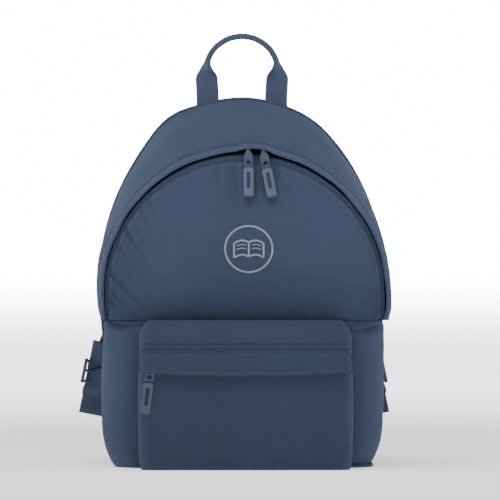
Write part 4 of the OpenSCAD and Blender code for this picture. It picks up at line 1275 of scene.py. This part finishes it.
class BACKPACK_OT_straps(Operator):
    """Pad the shoulder straps and thread their webbing"""

    bl_idname = "backpack.straps"
    bl_label = "Shoulder straps"

    def execute(self, context):
        for side, sgn in (("left", -1.0), ("right", 1.0)):
            self.strap(side, sgn)
            self.webbing(side, sgn)
            dress("ladder_lock_" + side, "buckle")
            soften("ladder_lock_" + side, 0.5)
        self.yoke()
        return {"FINISHED"}

    def strap(self, side, sgn):
        """The padded strap: fullest along its middle, thin at its bound edges, quilted down two lines."""
        pts = [(drawn(x, z, side), BACK_OUT + y + 6, z, w) for x, y, z, w in TOP]
        line = smooth_path(pts, 110)
        path, w = line[:, :3] * np.array([sgn, 1, 1]), line[:, 3]
        s = lengths(path)
        t = tangents(path)
        across = unit(np.cross(t, [0, 1.0, 0]))
        a = np.linspace(0, math.tau, 44, endpoint=False)
        c, d = np.cos(a), np.sin(a)
        x = np.sign(c) * abs(c) ** 0.7
        full = ramp(np.minimum(s / 26, (s[-1] - s) / 14)) ** 0.5
        thick = (3.0 + 8.0 * full)[:, None] * (1 - 0.62 * abs(x[None]) ** 3.2)
        lines = 1 - 0.22 * hill(abs(x[None]) - 0.72, 0.07)
        prof = np.stack([w[:, None] / 2 * x[None] + 0 * thick,
                         np.sign(d)[None] * abs(d)[None] ** 0.55 * thick / 2 * lines], -1)
        prof[..., 1] += 0.25 * ripple(s[:, None], x[None] * 30, 81, 40) * full[:, None]
        pad = swept("strap_pad_" + side, path, across, prof, finish="back", slot="back_cloth",
                    stands_for=["strap_root_" + side, "strap_sleeve_" + side, "strap_foam_" + side])
        puffed(pad, 1.8, lambda q: np.array([0.3, 1.0, 0.3]))
        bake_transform(pad)
        for edge in (-1, 1):
            rim = path + across * (w / 2 * edge - 0.6 * edge)[:, None]
            bind = swept(f"strap_binding_{side}_{'inner' if edge < 0 else 'outer'}", rim, across,
                         oval(3.4, 4.6, 12, 2.4),
                         finish="binding", slot="webbing")
            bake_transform(bind)

    def webbing(self, side, sgn):
        """Loop on the strap's end, adjuster webbing through the lock, and the free tail."""
        lx, ly, lz = drawn(LOCK_AT[0], LOCK_AT[2], side), BACK_OUT + LOCK_AT[1], LOCK_AT[2]
        dx, dz = LOCK_DIR
        mirror = np.array([sgn, 1, 1])

        def at(up, out):
            return (lx - dx * up, ly + out, lz - dz * up)

        wide = np.array([sgn * 0.93, 0.31, sgn * 0.2])
        loop = [at(34, -1.6), at(26, -2.4), at(20, -2.6), at(13, -2.7), at(9.2, -2.0), at(8.2, 0),
                at(9.2, 2.0), at(13, 2.7), at(20, 2.6), at(26, 2.4), at(34, 1.6)]
        self.band("lock_webbing_" + side, loop, mirror, wide, 30, 1.6, "strap_" + side,
                  ["lock_loop_" + side])
        under = [(119, BACK_OUT + 3.0, 24), (119.5, BACK_OUT + 4.2, 32),
                 (drawn(125, 46, side) + 5, BACK_OUT + 7.0, 46), (drawn(140, 63, side), BACK_OUT + 9.4, 63),
                 at(-22, -4.2), at(-13.5, -2.9), at(-5, -2.7), at(0.5, -2.7), at(4.6, -2.2),
                 at(6.4, -0.6), at(6.0, 1.4), at(3.4, 2.6), at(0.4, 2.8)]
        lower = self.band("adjuster_webbing_" + side, under, mirror, wide, 30, 1.5, None,
                          ["adjuster_" + side])
        "strap_" + side
        sgn * 0.119
        sgn * 0.137
        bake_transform(lower)
        tail = [at(-0.4, 3.0), at(-6, 3.0), at(-14, 3.6), at(-24, 4.0), at(-35, 3.6), at(-45.5, 3.2)]
        self.band("tail_webbing_" + side, tail, mirror, wide, 30, 1.5, "tail_" + side, ["tail_" + side])
        hem = [at(-36.5, 4.9), at(-40, 4.8), at(-45.6, 4.5)]
        self.band("tail_hem_" + side, hem, mirror, wide, 30, 1.4, "tail_" + side, [])
        self.wing(side, sgn)

    def band(self, name, pts, mirror, across, width, thick, body, nodes):
        """Flat webbing along a smooth line."""
        line = smooth_path(pts, 60) * mirror
        return swept(name, line, np.tile(across, (60, 1)), oval(width, thick, 26, 5.0), body=body,
                     finish="webbing", slot="webbing", stands_for=nodes)

    def wing(self, side, sgn):
        """The cloth wing on the back panel's lower corner, with a rolled edge."""
        s, t = np.meshgrid(np.linspace(0, 1, 30), np.linspace(0, 1, 24), indexing="ij")
        x = 97 + 43 * s
        low = 16 + 3 * s
        high = 26 + 10 * s**0.8
        z = low + (high - low) * t
        edge = np.minimum(np.minimum(s, 1 - s) * 47, np.minimum(t, 1 - t) * 14)
        y = BACK_OUT + 0.6 + 2.0 * (1 - falloff(edge, 1.6)) + 0.3 * ripple(x, z, 91, 14)
        p = np.stack([sgn * x, y, z], -1)
        back = np.stack([sgn * x, BACK_OUT + 0.1 + 0 * x, z], -1)
        ring = np.concatenate([back[:, ::-1], p], 1)
        tube("wing_cloth_" + side, ring, body="bag", finish="shell", slot="back_cloth",
                    stands_for=["wing_" + side])

    def yoke(self):
        """A bar of webbing sewn across the tops of both straps."""
        x = np.linspace(-76, 76, 60)
        y = BACK_OUT + 1.6 + 4.4 * hill(np.abs(x) - 44, 33, 6)
        path = np.stack([x, y, YOKE_Z + 0 * x], -1)
        swept("strap_yoke_webbing", path, np.tile([0, 0, 1.0], (60, 1)), oval(22, 1.7, 26, 5.0), body="bag",
              finish="webbing", slot="back_cloth", stands_for=["strap_yoke"])
        for z in (YOKE_Z - 8.0, YOKE_Z + 8.0):
            row = path + np.array([0, 0.9, z - YOKE_Z])
            stitches(f"yoke_stitches_{int(z)}", row, np.array([0, 1.0, 0]), "bag")


# ---------------------------------------------------------------- the stage


class BACKPACK_OT_stage(Operator):
    """Set the floor, the lights and the camera"""

    bl_idname = "backpack.stage"
    bl_label = "Stage"

    def execute(self, context):
        a, r = np.linspace(0, math.tau, 97)[None, :], (40000 * np.linspace(0, 1, 40) ** 3)[:, None]
        p = np.stack([r * np.cos(a), r * np.sin(a), 0 * a - 0.05 + 0 * r], -1)
        floor = sheet("studio_floor", p, finish="floor")
        for lamp in LAMPS:
            self.lamp(*lamp)
        world = bpy.data.worlds.new("studio")
        world.use_nodes = True
        tree = world.node_tree
        around, out = tree.nodes["Background"], tree.nodes["World Output"]
        behind, ray, mix = (tree.nodes.new("ShaderNode" + k)
                            for k in ("Background", "LightPath", "MixShader"))
        for node, strength in ((around, SKY), (behind, SURROUND)):
            node.inputs["Color"].default_value = (1, 1, 1, 1)
            node.inputs["Strength"].default_value = strength
        tree.links.new(ray.outputs["Is Camera Ray"], mix.inputs["Fac"])
        tree.links.new(around.outputs[0], mix.inputs[1])
        tree.links.new(behind.outputs[0], mix.inputs[2])
        tree.links.new(mix.outputs[0], out.inputs["Surface"])
        context.scene.world = world
        cam = bpy.data.cameras.new("camera")
        cam.sensor_width = 36.0
        az, el = math.radians(CAMERA_AZ), math.radians(CAMERA_EL)
        cam.lens = cam.sensor_width * CAMERA_AT / CAMERA_VIEW
        cam.clip_end = 120.0
        obj = bpy.data.objects.new("camera", cam)
        bpy.context.scene.collection.objects.link(obj)
        away = np.array([math.sin(az) * math.cos(el), -math.cos(az) * math.cos(el), math.sin(el)])
        obj.location = CAMERA_LOOK + away * CAMERA_AT
        obj.rotation_euler = (math.pi / 2 - el, 0.0, az)
        context.scene.camera = obj
        return {"FINISHED"}

    def lamp(self, name, place, power, size):
        """A soft square lamp aimed at the middle of the bag."""
        light = bpy.data.lights.new(name, "AREA")
        light.energy, light.size = power, size
        obj = bpy.data.objects.new(name, light)
        bpy.context.scene.collection.objects.link(obj)
        obj.location = place
        d = np.array([0.0, 0.0, 0.22]) - np.array(place)
        obj.rotation_euler = (math.acos(-d[2] / np.linalg.norm(d)), 0.0,
                              math.atan2(d[1], d[0]) - math.pi / 2)


# ---------------------------------------------------------------- panel and registration

PIECES = (
    BACKPACK_OT_stage, BACKPACK_OT_gusset, BACKPACK_OT_flap, BACKPACK_OT_front_panel,
    BACKPACK_OT_lower_body,
    BACKPACK_OT_back, BACKPACK_OT_pocket, BACKPACK_OT_main_zip, BACKPACK_OT_handle, BACKPACK_OT_straps)


class BACKPACK_PT_pieces(Panel):
    """Lists the backpack's pieces, sizes and colours"""

    bl_label = "Backpack"
    bl_idname = "BACKPACK_PT_pieces"
    bl_space_type = "VIEW_3D"
    bl_region_type = "UI"
    bl_category = "Backpack"

    def draw(self, context):
        for group in (context.scene.backpack_sizes, context.scene.backpack_colours):
            for name in group.__annotations__:
                self.layout.prop(group, name)
        for piece in PIECES:
            self.layout.operator(piece.bl_idname)


CLASSES = (BackpackSizes, BackpackColours, *PIECES, BACKPACK_PT_pieces)


def register():
    for cls in CLASSES:
        bpy.utils.register_class(cls)
    bpy.types.Scene.backpack_sizes = PointerProperty(type=BackpackSizes)
    bpy.types.Scene.backpack_colours = PointerProperty(type=BackpackColours)


def unregister():
    del bpy.types.Scene.backpack_colours
    del bpy.types.Scene.backpack_sizes
    for cls in reversed(CLASSES):
        bpy.utils.unregister_class(cls)


def main():
    """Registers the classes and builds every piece."""
    register()
    for piece in PIECES:
        group, name = piece.bl_idname.split(".")
        getattr(getattr(bpy.ops, group), name)()


if __name__ == "__main__":
    main()
